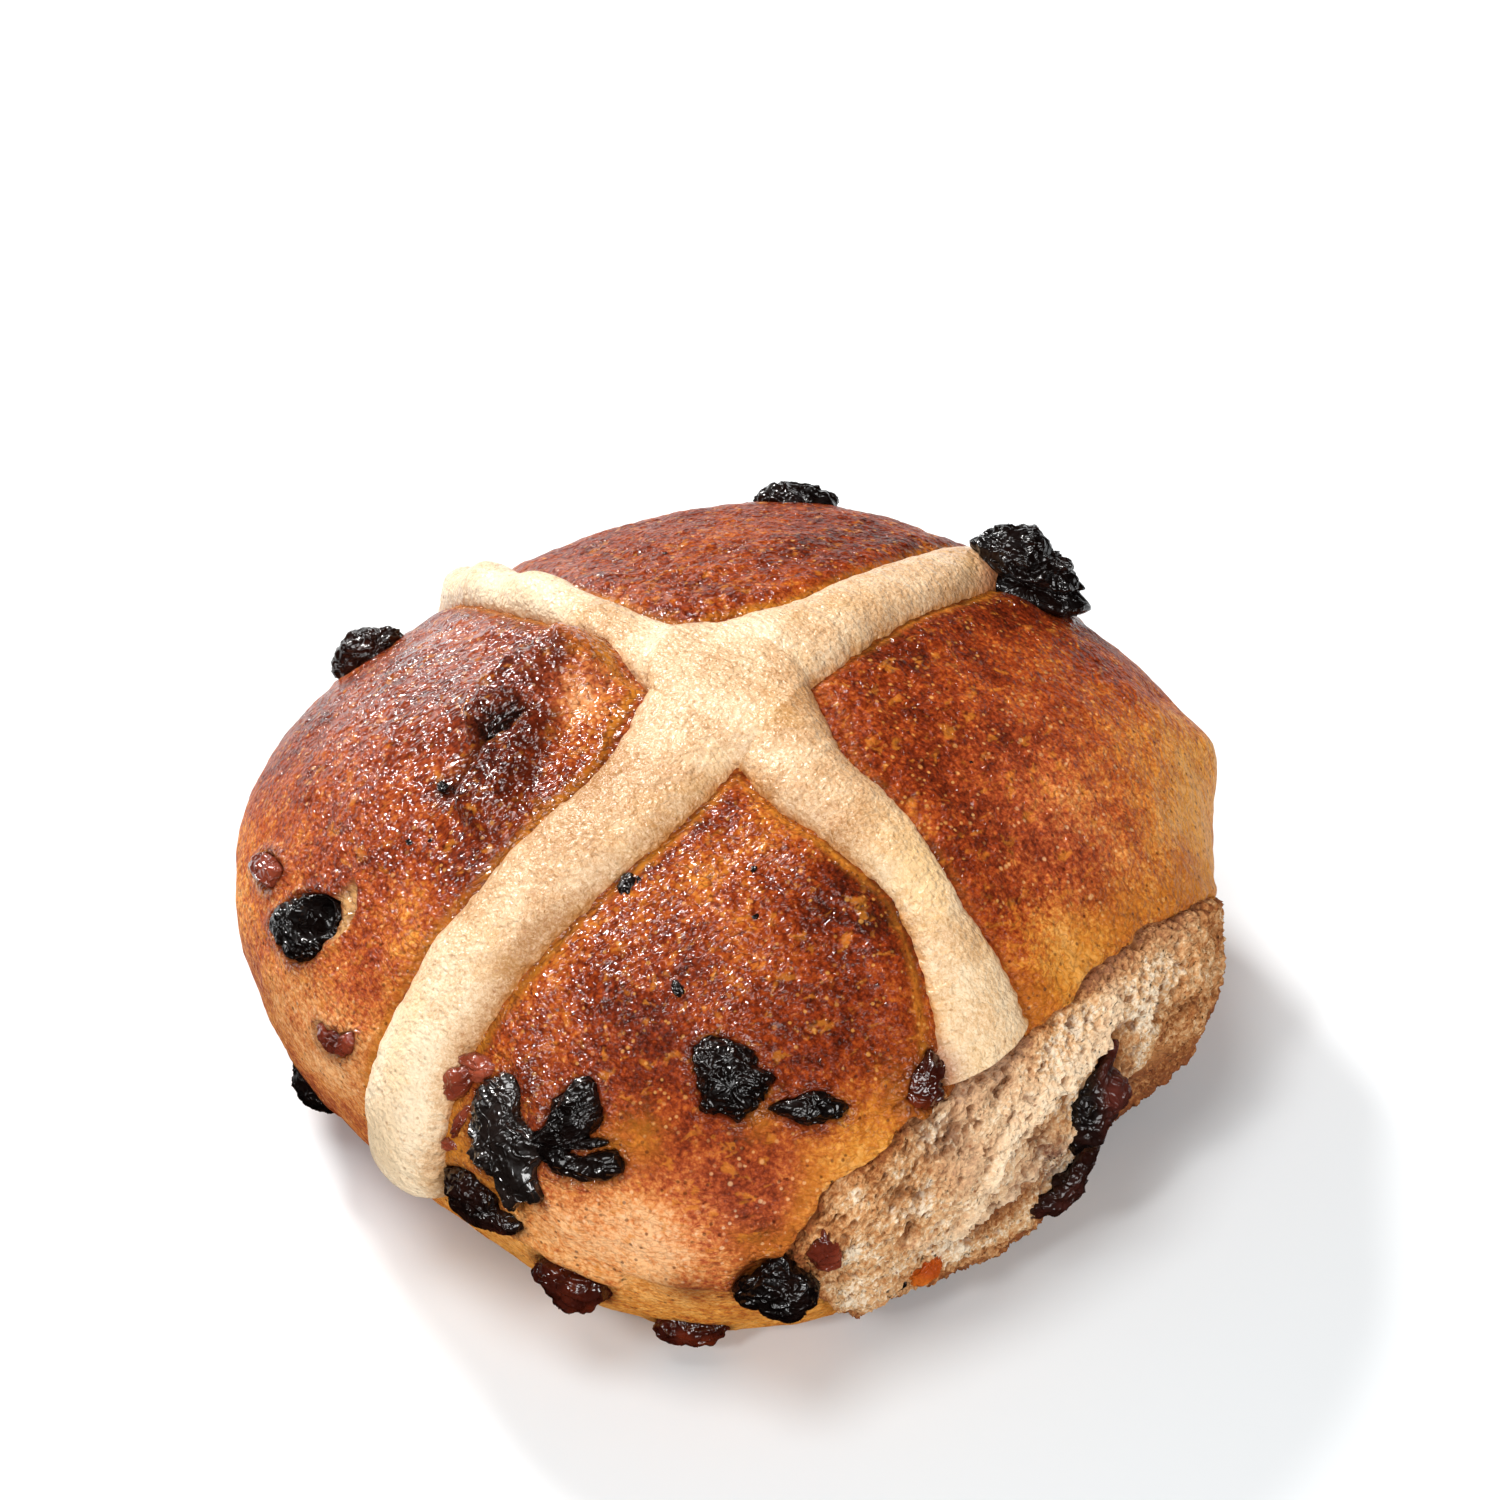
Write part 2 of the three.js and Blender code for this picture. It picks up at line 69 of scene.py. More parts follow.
# raisins: name, (azimuth, elevation), (length, width, thickness), roll, lift, kind
PIECES = [
    ("raisin_front", (-48.8, 20.6), (8.0, 6.7, 4.6), -71, -0.9, "dark"),
    ("raisin_front_lens", (-37.2, 16.7), (7.2, 3.9, 3.6), -10, -0.6, "dark"),
    ("raisin_by_cross", (-21.6, 16.2), (5.8, 3.6, 3.6), 53, -0.6, "amber"),
    ("raisin_corner", (-43.4, -4.7), (7.2, 6.8, 6.4), -8, 0.5, "dark"),
    ("raisin_corner_red", (-36.6, -0.6), (4.4, 2.8, 3.0), -90, -0.7, "red"),
    ("raisin_front_left_a", (-78.6, 7.0), (11.4, 5.6, 4.6), -52, -0.8, "dark"),
    ("raisin_front_left_b", (-67.0, 12.4), (9.0, 6.4, 4.6), -74, -0.8, "dark"),
    ("raisin_below_left", (-80.4, -4.9), (9.0, 4.6, 4.6), -13, -0.6, "mixed"),
    ("raisin_left_crater", (-121.7, 9.4), (8.4, 7.2, 5.4), 78, -1.5, "dark"),
    ("raisin_left_chip", (-132.4, 9.6), (4.0, 3.2, 3.0), 15, -0.4, "red"),
    ("raisin_left_lower", (-107.6, 2.6), (5.4, 5.0, 4.2), 23, -1.0, "red"),
    ("raisin_left_bottom", (-119, -17), (6.4, 4.5, 4.0), -38, -0.5, "dark"),
    ("raisin_bottom_amber", (-68.2, -11.8), (7.2, 6.2, 5.4), -13, -0.3, "amber"),
    ("raisin_bottom_edge", (-54, -21.5), (6.6, 4.6, 4.2), -6, -0.5, "amber"),
    ("raisin_left_back", (-170, 10), (6.8, 5.4, 5.0), -31, 0.3, "mixed"),
    ("raisin_back_top", (128, 11.5), (8.0, 6.0, 5.0), 3, -0.3, "dark"),
    ("raisin_top_right", (96.3, 10.6), (12.4, 8.6, 6.2), 30, 0.9, "dark"),
    ("raisin_crumb", (4.4, -0.9), (12.4, 6.6, 5.4), 47, -1.5, "mixed"),
    ("raisin_base_right", (-0.6, -14.0), (9.6, 6.6, 6.0), 8, -0.7, "amber"),
    ("peel_bottom", (-23.3, -14.5), (3.8, 2.9, 2.6), 58, -0.3, "peel"),
    ("raisin_rear_left", (-173, -8), (7.4, 6.0, 4.6), 20, -0.7, "dark"),
    ("raisin_rear_low", (146, -15), (6.4, 5.2, 4.4), -30, -0.7, "amber"),
    ("raisin_rear_mid", (108, -9), (5.2, 4.6, 3.8), 70, -0.5, "dark"),
    ("raisin_rear_right", (73, -12), (8.0, 6.0, 4.8), 50, -0.9, "dark"),
]

# outlines of the raisins that lie flat in the crust: centre (azimuth, elevation), then points
# (level, up the slope) in mm about it
OUTLINES = {
    "raisin_front_left_a": ((-78.2, 7.2), [(-2.6, 4.7), (-1.7, 5.4), (-.8, 5.6), (-.1, 5.3), (.5, 4.4), (.6, 3.4), (.9, 2.7),
        (2.0, 2.5), (3.0, 2.6), (4.5, 2.4), (5.0, 1.6), (4.6, .4), (4.1, -.8), (4.4, -1.6), (5.3, -2.4), (5.6, -3.1), (5.4, -3.7),
        (4.3, -4.2), (3.6, -4.4), (3.3, -5.7), (2.7, -6.1), (2.5, -5.1), (2.4, -4.1), (1.7, -3.5), (.9, -3.1), (.2, -3.5),
        (-1.2, -3.7), (-1.9, -3.0), (-2.6, -1.5), (-3.3, .1), (-3.7, 1.2), (-3.6, 2.0), (-4.0, 2.5), (-3.7, 3.3), (-3.2, 4.1)]),
    "raisin_front_left_b": ((-69.7, 11.0), [(-3.2, -2.3), (-2.7, -.5), (-1.9, .2), (-2.1, 1.4), (-2.2, 2.5), (-1.5, 3.6),
        (-.9, 4.7), (-.3, 5.2), (.4, 5.4), (1.1, 4.7), (1.7, 3.7), (2.2, 3.3), (2.7, 2.4), (2.3, 1.2), (1.6, .2), (.4, -1.2)]),
    "raisin_tail": ((-68.1, 8.7), [(-3.7, -.2), (-2.8, .9), (-1.2, 1.2), (-.4, .5), (.9, .6), (2.2, 1.3), (3.4, 2.5), (3.7, 1.9),
        (4.5, 1.7), (4.7, 1.1), (4.3, 0), (3.1, -.6), (1.8, -1.1), (-.2, -1.7), (-1.4, -1.6), (-2.2, -1.1)]),
    "raisin_tail_upper": ((-68.4, 10.6), [(-2.6, -1.2), (-1.4, -.3), (.4, .5), (2.3, 1.3), (3.0, 1.2), (2.4, .5), (1.0, -.3), (-.8, -1.0)]),
    "raisin_below_left": ((-80.5, -3.5), [(-4.2, .9), (-3.1, 2.0), (-1.4, 2.9), (-.3, 3.0), (-.2, 2.4), (.5, 2.4), (1.2, 2.3), (2.0, 2.0),
        (2.2, 1.4), (2.0, .5), (2.9, .4), (4.2, .3), (4.9, .1), (4.7, -.9), (3.4, -2.0), (1.9, -2.6), (.5, -3.0), (-1.6, -3.6),
        (-2.6, -3.2), (-3.1, -2.4), (-3.9, -1.6), (-4.2, -.4)]),
    "raisin_front": ((-49.3, 21.0), [(-2.1, 3.3), (-1.3, 3.4), (-.3, 3.1), (.5, 2.9), (1.4, 2.6), (2.1, 2.1), (2.4, 1.6), (2.4, .8),
        (3.0, .5), (3.6, .4), (4.1, .1), (3.8, -.7), (3.4, -1.5), (3.0, -2.0), (2.5, -2.7), (1.9, -3.2), (1.2, -3.7), (.9, -4.1),
        (.4, -3.8), (-.2, -3.5), (-.7, -3.2), (-1.4, -3.4), (-2.2, -3.1), (-2.5, -2.7), (-2.0, -2.2), (-2.3, -1.6), (-2.7, -.7),
        (-2.9, .3), (-3.2, 1.3), (-3.2, 2.1), (-2.7, 2.7)]),
    "raisin_front_lens": ((-37.5, 16.8), [(-4.1, .8), (-3.4, 1.1), (-2.3, 1.2), (-1.5, 1.1), (-.7, 1.5), (0, 1.6), (.9, 1.4), (1.5, .8),
        (1.8, .4), (2.6, .1), (3.0, -.4), (2.5, -.9), (1.8, -1.3), (1.0, -1.2), (-.1, -1.4), (-1.0, -1.4), (-1.7, -1.0), (-2.2, -.5),
        (-3.1, 0), (-3.8, .4)]),
    "raisin_left_crater": ((-120.6, 10.2), [(-2.0, 2.3), (-.8, 3.3), (.2, 3.9), (1.3, 4.1), (2.2, 3.8), (2.8, 3.0), (3.2, 2.2), (3.4, 1.2),
        (3.4, .2), (3.3, -.6), (2.8, -1.6), (2.0, -2.5), (1.2, -2.9), (-.3, -3.0), (-1.8, -3.1), (-2.7, -3.0), (-3.5, -2.9), (-3.9, -2.4),
        (-3.9, -1.7), (-3.6, -1.1), (-3.3, -.5), (-3.1, .3), (-2.7, 1.1), (-2.4, 1.7)]),
    "raisin_left_chip": ((-131.3, 9.2), [(-2.5, -1.7), (-2.4, -.5), (-2.1, .4), (-1.1, 1.0), (.2, 1.5), (1.7, 1.9), (1.9, 1.2),
        (1.7, .6), (2.3, .1), (1.5, -.8), (-.2, -1.3), (-1.7, -1.8)]),
    "raisin_corner_red": ((-37.6, -1.0), [(0, 3.0), (.4, 2.4), (1.2, 1.7), (1.4, .6), (1.5, -.9), (1.5, -1.8), (.9, -2.0), (0, -2.2),
        (-.8, -1.4), (-1.5, -.2), (-1.8, .6), (-1.3, 1.2), (-.8, 1.9), (-.7, 2.4)]),
    "raisin_by_cross": ((-21.3, 15.9), [(1.4, 2.7), (1.8, 2.5), (2.0, 1.6), (2.1, .7), (1.7, .1), (1.2, -.5), (1.1, -1.3), (.9, -1.9),
        (.1, -2.0), (-.6, -2.1), (-1.2, -1.9), (-1.8, -1.5), (-2.2, -.9), (-2.2, -.1), (-1.9, .6), (-1.4, 1.2), (-.6, 1.7),
        (.3, 2.0), (.9, 2.4)]),
    "raisin_left_lower": ((-107.0, 3.4), [(-2.7, .2), (-2.0, .8), (-1.2, .1), (-.1, -.1), (.6, .4), (1.0, 1.6), (1.6, 2.6), (2.2, 1.6),
        (2.3, .4), (1.2, -.9), (-.6, -1.5), (-2.0, -1.1)]),
}

# outlines of the raisins that stand out of the bun, as they look from the front corner: the shift of the middle
# (right, up and, where there is a third number, out) in mm, then points (right, up) in mm about it
FACING = {
    "raisin_corner": ((0.0, 0.0), [(-0.6, 2.9), (0, 3.2), (0.6, 3.2), (1.1, 3), (1.4, 2.4), (1.7, 2.1), (2.4, 1.4),
        (3, 0.8), (3.5, 0.5), (3.6, -0.2), (3.5, -0.8), (3.6, -1.6), (2.9, -2), (2.5, -2.5), (1.9, -3), (1.4, -3.3),
        (0.6, -3.2), (0.2, -2.9), (-0.3, -2.8), (-1, -2.5), (-1.7, -2.1), (-2.5, -1.8), (-3.3, -1.6), (-3.5, -1),
        (-3.6, -0.2), (-3.4, 0.4), (-2.9, 0.8), (-2.2, 1), (-1.5, 1.6), (-1.1, 2.1), (-0.6, 2.4)]),
    "raisin_crumb": ((0.5, -0.1), [(1.9, 5), (2.6, 4.9), (2.9, 4.4), (2.4, 3.5), (1.9, 2.7), (2.7, 2.1), (3.5, 1.3),
        (3.9, 0.5), (3.5, -0.6), (2.6, -1.5), (2.0, -2.4), (1.6, -3.3), (1.2, -4.2), (0.2, -4.6), (-0.4, -4.7),
        (-1.3, -5.4), (-1.6, -4.7), (-2.1, -4), (-2.8, -4), (-3.4, -3.3), (-3.6, -2.5), (-3.1, -1.5), (-2.5, -0.7),
        (-2, 0), (-1.5, 0.3), (-1, 1.2), (-0.2, 2.1), (0.6, 2.7), (1.2, 3.4), (1.4, 4.1)]),
    "raisin_base_right": ((0.8, -0.6), [(1.9, 3.9), (2.8, 3.9), (3.5, 3.8), (3, 2.6), (2.3, 1), (1.9, -0.3), (0.9, -1.4),
        (-0.4, -2.3), (-2.2, -2.7), (-2.9, -2.7), (-3.9, -2.5), (-5, -2), (-5.1, -1.5), (-3.9, -0.8), (-2.9, -1),
        (-2.2, -0.6), (-1.4, 0.1), (-1.3, 0.7), (-0.4, 1.3), (0.4, 1.8), (0.9, 2.6), (1.5, 3.5)]),
    "raisin_top_right": ((-0.3, 0.1, 7.0), [(-5, 1.7), (-4.3, 0.4), (-4.1, -0.5), (-4.2, -1.6), (-3.3, -2), (-2.1, -2.5),
        (-0.9, -3.2), (0.2, -3.7), (1.3, -4.2), (2.7, -4.6), (4, -4.4), (4.8, -4.2), (5.4, -3.6), (5.5, -2.6), (5, -1.7),
        (4.8, -0.9), (4.3, 0), (3.9, 0.6), (2.9, 1.4), (2.2, 2), (1.9, 2.7), (1.3, 3.2), (0.9, 3.9), (0.2, 4),
        (-0.6, 3.9), (-1.5, 3.9), (-2.1, 4.1), (-2.9, 3.9), (-3.9, 3.5), (-4.7, 3), (-5.3, 2.3)]),
}

# =========================================================== noise

_g = np.random.RandomState(11).normal(size=(256, 3))
GRAD = _g / np.linalg.norm(_g, axis=1)[:, None]


def cell_hash(i, j, k, seed):
    h = (i * 374761393 + j * 668265263 + k * 1440662683 + seed * 974634777) & 0xffffffff
    h = ((h ^ (h >> 13)) * 1274126177) & 0xffffffff
    h = ((h ^ (h >> 16)) * 1103515245) & 0xffffffff
    return h ^ (h >> 13)


def perlin(p, seed=0):
    i = np.floor(p).astype(np.int64)
    f = p - i
    u = f * f * f * (f * (f * 6 - 15) + 10)
    total = np.zeros(len(p))
    for a in (0, 1):
        wa = u[:, 0] if a else 1 - u[:, 0]
        for b in (0, 1):
            wb = wa * (u[:, 1] if b else 1 - u[:, 1])
            for c in (0, 1):
                w = wb * (u[:, 2] if c else 1 - u[:, 2])
                g = GRAD[cell_hash(i[:, 0] + a, i[:, 1] + b, i[:, 2] + c, seed) & 255]
                total += w * ((f[:, 0] - a) * g[:, 0] + (f[:, 1] - b) * g[:, 1] + (f[:, 2] - c) * g[:, 2])
    return total * 1.7


def fbm(p, octaves=4, seed=0, gain=0.5):
    total, amp = np.zeros(len(p)), 1.0
    for k in range(octaves):
        total += amp * perlin(p * 2.03 ** k + 17.3 * k, seed + 31 * k)
        amp *= gain
    return total


def worley(p, seed=0):
    """Distances to the nearest and second nearest feature point, and a random number of the nearest."""
    i = np.floor(p).astype(np.int64)
    f1 = np.full(len(p), 9.0)
    f2 = np.full(len(p), 9.0)
    tag = np.zeros(len(p))
    for a in (-1, 0, 1):
        for b in (-1, 0, 1):
            for c in (-1, 0, 1):
                h = cell_hash(i[:, 0] + a, i[:, 1] + b, i[:, 2] + c, seed)
                q = np.stack([i[:, 0] + a + (h & 1023) / 1023.0, i[:, 1] + b + ((h >> 10) & 1023) / 1023.0,
                              i[:, 2] + c + ((h >> 20) & 1023) / 1023.0], 1)
                d = np.sqrt(((q - p) ** 2).sum(1))
                near = d < f1
                f2 = np.where(near, f1, np.minimum(f2, d))
                tag = np.where(near, ((h * 7919) & 4095) / 4095.0, tag)
                f1 = np.where(near, d, f1)
    return f1, f2, tag


def warp(p, amount, size, seed):
    return p + amount * np.stack([perlin(p / size, seed), perlin(p / size + 51.7, seed + 1), perlin(p / size - 33.1, seed + 2)], 1)


def smooth(a, b, v):
    t = np.clip((v - a) / (b - a), 0, 1)
    return t * t * (3 - 2 * t)


def bump(s, centre, width):
    return np.exp(-((s - centre) / width) ** 2)


# =========================================================== the body's surface

def direction(az, el):
    a, e = math.radians(az), math.radians(el)
    return np.array([math.cos(e) * math.cos(a), math.cos(e) * math.sin(a), math.sin(e)])


def plain_radius(D):
    ax = np.where(D[:, 0] > 0, 38.43, 44.15)
    ay = np.where(D[:, 1] > 0, 47.39, 44.12)
    up = D[:, 2] > 0
    az = np.where(up, 23.48, 29.66)
    m = np.where(up, 1.84, 2.296)
    n = 2.339
    plan = (np.abs(D[:, 0] / ax) ** n + np.abs(D[:, 1] / ay) ** n) ** (1 / n)
    r = (plan ** m + np.abs(D[:, 2] / az) ** m) ** (-1 / m)
    phi = np.arctan2(D[:, 1], D[:, 0])
    wave = sum(c * np.cos(k * phi) + s * np.sin(k * phi) for k, c, s in WAVES)
    r = r * (1 + wave * (D[:, 0] ** 2 + D[:, 1] ** 2))
    floor = np.where(up, 1e9, CZ / np.maximum(-D[:, 2], 1e-6))
    r = (r ** -12.0 + floor ** -12.0) ** (-1 / 12)
    for az_, el_, reach, height in LUMPS:
        chord = 2 - 2 * (D @ direction(az_, el_))
        r = r + height * np.exp(-chord / (2 * (reach / 42) ** 2))
    return r


def unit(V):
    return V / np.linalg.norm(V, axis=-1, keepdims=True)


def surface_normals(D, radius=plain_radius, e=0.02):
    a = unit(np.cross(np.array([0, 0, 1.0]), D) + 1e-9)
    b = np.cross(D, a)
    at = lambda Q: unit(Q) * radius(unit(Q))[:, None]
    n = unit(np.cross(at(D + e * a) - at(D - e * a), at(D + e * b) - at(D - e * b)))
    return n * np.sign((n * D).sum(1))[:, None]


def local_frame(az, el):
    """Point on the plain crust, its normal, the level direction and the direction up the slope."""
    d = direction(az, el)[None]
    n = surface_normals(d)[0]
    level = unit(np.cross(np.array([0, 0, 1.0]), n))
    return (d * plain_radius(d)[:, None])[0], n, level, np.cross(n, level)


def interp(curve, y):
    c = np.array(curve)
    return np.interp(y, c[:, 0], c[:, 1])


def tear_distance(P):
    """About the distance in mm inside the torn side's edge, of points relative to the centre."""
    y, z = P[:, 1], P[:, 2] + CZ
    s = np.minimum(interp(TEAR_UP, y) - z, z - interp(TEAR_LOW, y))
    s = np.minimum(s, np.where(y > 0, 31.4 - y, 29.3 + y))
    return np.where(P[:, 0] > 8, s, -9.0)


def tucked(P):
    """Where the torn side is drawn in, below the fruit at the right."""
    c, n, lx, ly = local_frame(15.0, -13.5)
    q = P - c
    return np.exp(-((q @ lx) / 4.6) ** 2 - ((q @ ly) / 5.0) ** 2) * smooth(1.0, 4.0, P[:, 2] + CZ)


# =========================================================== the cross's layout

def along(rows, t):
    rows = np.array(rows, float)
    n = len(rows) - 1
    i = np.clip(np.floor(t).astype(int), 0, n - 1)
    f = (t - i)[:, None]
    a, b = rows[np.maximum(i - 1, 0)], rows[i]
    c, d = rows[i + 1], rows[np.minimum(i + 2, n)]
    return 0.5 * (2 * b + (c - a) * f + (2 * a - 5 * b + 4 * c - d) * f * f + (3 * b - a - 3 * c + d) * f ** 3)


def plan_direction(x, y):
    z = 23.48
    for _ in range(40):
        r = plain_radius(unit(np.array([[x, y, z]])))[0]
        z = 0.5 * z + 0.5 * math.sqrt(max(r * r - x * x - y * y, 1))
    return unit(np.array([x, y, z]))


def arm_direction(arm, angle, offset):
    d, s = np.array(arm[0], float), np.array(arm[1], float)
    t = np.radians(angle)
    base = np.stack([d[0] * np.sin(t), d[1] * np.sin(t), np.cos(t)], 1)
    k = plain_radius(base)
    return unit(np.stack([base[:, 0] * k + s[0] * offset, base[:, 1] * k + s[1] * offset, base[:, 2] * k], 1))


CORNERS = {k: plan_direction(*v) for k, v in CORNER.items()}
STARTS = {"front": ("fc", "ft"), "back": ("bc", "bt"), "torn": ("bt", "ft"), "closed": ("bc", "fc")}


def corner_row(key, arm):
    q = CORNERS[key] * plain_radius(CORNERS[key][None])[0]
    d, s = np.array(arm[0], float), np.array(arm[1], float)
    return (math.degrees(math.atan2(q[:2] @ d, q[2])), float(q[:2] @ s))


def arm_edges(name):
    arm = ARMS[name]
    far = [corner_row(STARTS[name][0], arm)] + [(a, b - w) for a, b, w, _ in arm[3]]
    near = [corner_row(STARTS[name][1], arm)] + [(a, b + w) for a, b, w, _ in arm[3]]
    high = [(1.95,)] + [(h,) for *_, h in arm[3]]
    return far, near, high


def cross_distance(P):
    """Signed distance in mm from the cross's outline, below zero under it."""
    best = np.full(len(P), 99.0)
    mid = unit(sum(CORNERS.values()))
    c0 = (mid * plain_radius(mid[None])[0])
    tracks = []
    for name, arm in ARMS.items():
        far, near, _ = arm_edges(name)
        t = np.linspace(0, len(far) - 1, 36)
        f, m = along(far, t), along(near, t)
        a = arm_direction(arm, f[:, 0], f[:, 1])
        b = arm_direction(arm, m[:, 0], m[:, 1])
        A, B = a * plain_radius(a)[:, None], b * plain_radius(b)[:, None]
        C, W = (A + B) / 2, np.linalg.norm(A - B, axis=1) / 2
        if name == "torn":
            keep = np.arange(len(C))
        else:
            keep = np.arange(len(C) - 2)
        tracks.append((C[keep], W[keep]))
        tracks.append((np.stack([c0, C[0]]), np.array([5.2, W[0]])))
    for C, W in tracks:
        for k in range(len(C) - 1):
            u = C[k + 1] - C[k]
            box = (np.abs(P - (C[k] + C[k + 1]) / 2) < np.abs(u) / 2 + 14).all(1)
            if not box.any():
                continue
            q = P[box]
            f = np.clip(((q - C[k]) @ u) / (u @ u), 0, 1)
            d = np.linalg.norm(q - C[k] - f[:, None] * u, axis=1) - (W[k] + f * (W[k + 1] - W[k]))
            best[box] = np.minimum(best[box], d)
    return best


def stroke(P, points):
    """Distance to a line drawn on the crust through (azimuth, elevation) points, how far along it, and the signed side."""
    Q = np.array([direction(*q) * plain_radius(direction(*q)[None])[0] for q in points])
    best = np.full(len(P), 99.0)
    t_, side = np.zeros(len(P)), np.zeros(len(P))
    step = 1 / (len(Q) - 1)
    for k in range(len(Q) - 1):
        a, u = Q[k], Q[k + 1] - Q[k]
        f = np.clip(((P - a) @ u) / (u @ u), 0, 1)
        v = P - a - f[:, None] * u
        d = np.linalg.norm(v, axis=1)
        w = np.cross(u, unit(a + u / 2))
        near = d < best
        best = np.where(near, d, best)
        t_ = np.where(near, (k + f) * step, t_)
        side = np.where(near, np.sign(v @ w), side)
    return best, t_, side


# =========================================================== mesh helpers

def geodesic(freq):
    """Unit icosphere with each edge cut in freq parts."""
    g = (1 + 5 ** 0.5) / 2
    V = unit(np.array([(-1, g, 0), (1, g, 0), (-1, -g, 0), (1, -g, 0), (0, -1, g), (0, 1, g), (0, -1, -g), (0, 1, -g),
                       (g, 0, -1), (g, 0, 1), (-g, 0, -1), (-g, 0, 1)], float))
    F = [(0, 11, 5), (0, 5, 1), (0, 1, 7), (0, 7, 10), (0, 10, 11), (1, 5, 9), (5, 11, 4), (11, 10, 2), (10, 7, 6), (7, 1, 8),
         (3, 9, 4), (3, 4, 2), (3, 2, 6), (3, 6, 8), (3, 8, 9), (4, 9, 5), (2, 4, 11), (6, 2, 10), (8, 6, 7), (9, 8, 1)]
    ij = [(i, j) for i in range(freq + 1) for j in range(freq + 1 - i)]
    idx = {p: k for k, p in enumerate(ij)}
    tri = []
    for i, j in ij:
        if i + j < freq:
            tri.append((idx[i, j], idx[i + 1, j], idx[i, j + 1]))
        if i + j < freq - 1:
            tri.append((idx[i + 1, j], idx[i + 1, j + 1], idx[i, j + 1]))
    w = np.array([(freq - i - j, i, j) for i, j in ij], float) / freq
    tri = np.array(tri)
    pts = np.concatenate([w @ V[list(f)] for f in F])
    tris = np.concatenate([tri + k * len(ij) for k in range(20)])
    _, first, back = np.unique(np.round(pts, 6), axis=0, return_index=True, return_inverse=True)
    return unit(pts[first]), back.reshape(-1)[tris]


def join(parts):
    """Joins (vertices, faces, attributes) triples into one."""
    V, F, A, n = [], [], {}, 0
    for v, f, a in parts:
        V.append(v)
        F.append(f + n)
        for k, x in a.items():
            A.setdefault(k, []).append(x)
        n += len(v)
    return np.concatenate(V), np.concatenate(F), {k: np.concatenate(x) for k, x in A.items()}


def make(name, V, F, attributes, material, stands_for=()):
    """A Blender mesh object from points relative to the bun's centre, in mm."""
    P = V + np.array([0, 0, CZ]) + SHIFT
    P[:, 2] = np.maximum(P[:, 2], 0.0)
    me = bpy.data.meshes.new(name)
    me.vertices.add(len(P))
    me.vertices.foreach_set("co", (P * MM).astype(np.float32).ravel())
    me.loops.add(len(F) * 3)
    me.loops.foreach_set("vertex_index", F.astype(np.int32).ravel())
    me.polygons.add(len(F))
    me.polygons.foreach_set("loop_start", np.arange(0, len(F) * 3, 3, dtype=np.int32))
    me.update(calc_edges=True)
    me.polygons.foreach_set("use_smooth", np.ones(len(F), bool))
    for key, value in attributes.items():
        a = me.attributes.new(key, "FLOAT_COLOR", "POINT")
        rgba = np.ones((len(P), 4), np.float32)
        rgba[:, :3] = value
        a.data.foreach_set("color", rgba.ravel())
    me.materials.append(material)
    o = bpy.data.objects.new(name, me)
    bpy.context.scene.collection.objects.link(o)
    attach(o, "root")
    if stands_for:
        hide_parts(*stands_for)
    return o


# =========================================================== raisins' places and outlines

PLACE = {}
for _name, _at, _size, _roll, _lift, _kind in PIECES:
    PLACE[_name] = local_frame(*_at)
OUTLINE_FRAME = {k: local_frame(*v[0]) for k, v in OUTLINES.items()}
AZ, EL = math.radians(43.651), math.radians(44.329)      # where the bun is seen from
BACK = np.array([math.sin(AZ) * math.cos(EL), -math.cos(AZ) * math.cos(EL), math.sin(EL)])
RIGHT = np.array([math.cos(AZ), math.sin(AZ), 0.0])
UP = np.cross(BACK, RIGHT)
for _name, _at, _size, _roll, _lift, _kind in PIECES:
    if _name in FACING:
        _c, _n, _lx, _ly = PLACE[_name]
        OUTLINE_FRAME[_name] = (_c + _lift * _n + FACING[_name][0][0] * RIGHT + FACING[_name][0][1] * UP
                                + sum(FACING[_name][0][2:]) * BACK, BACK, RIGHT, UP)


def outline_radius(points, theta):
    """Distance of the outline from its middle, in each direction theta."""
    p = np.array(points, float)
    q = np.roll(p, -1, axis=0)
    c, s = np.cos(theta)[:, None], np.sin(theta)[:, None]
    e = q - p
    det = c * e[:, 1] - s * e[:, 0]
    det = np.where(np.abs(det) < 1e-9, 1e-9, det)
    t = (p[:, 0] * e[:, 1] - p[:, 1] * e[:, 0]) / det
    u = (p[:, 0] * s - p[:, 1] * c) / det
    ok = (u >= -1e-6) & (u <= 1 + 1e-6) & (t > 0)
    r = np.where(ok, t, 0).max(1)
    return np.where(r > 0, r, 1.0)


def smooth_outline(points, steps=180):
    theta = np.linspace(0, 2 * np.pi, steps, endpoint=False)
    r = outline_radius(points, theta)
    k = np.array([1, 2, 3, 2, 1], float)
    k /= k.sum()
    ext = np.concatenate([r[-2:], r, r[:2]])
    return np.convolve(ext, k, "valid")


OUTLINE_TABLE = {k: smooth_outline(v[1]) for k, v in {**OUTLINES, **FACING}.items()}


def look_up(table, theta):
    n = len(table)
    t = (theta / (2 * np.pi) % 1) * n
    i = np.floor(t).astype(int) % n
    f = t - np.floor(t)
    return table[i] * (1 - f) + table[(i + 1) % n] * f


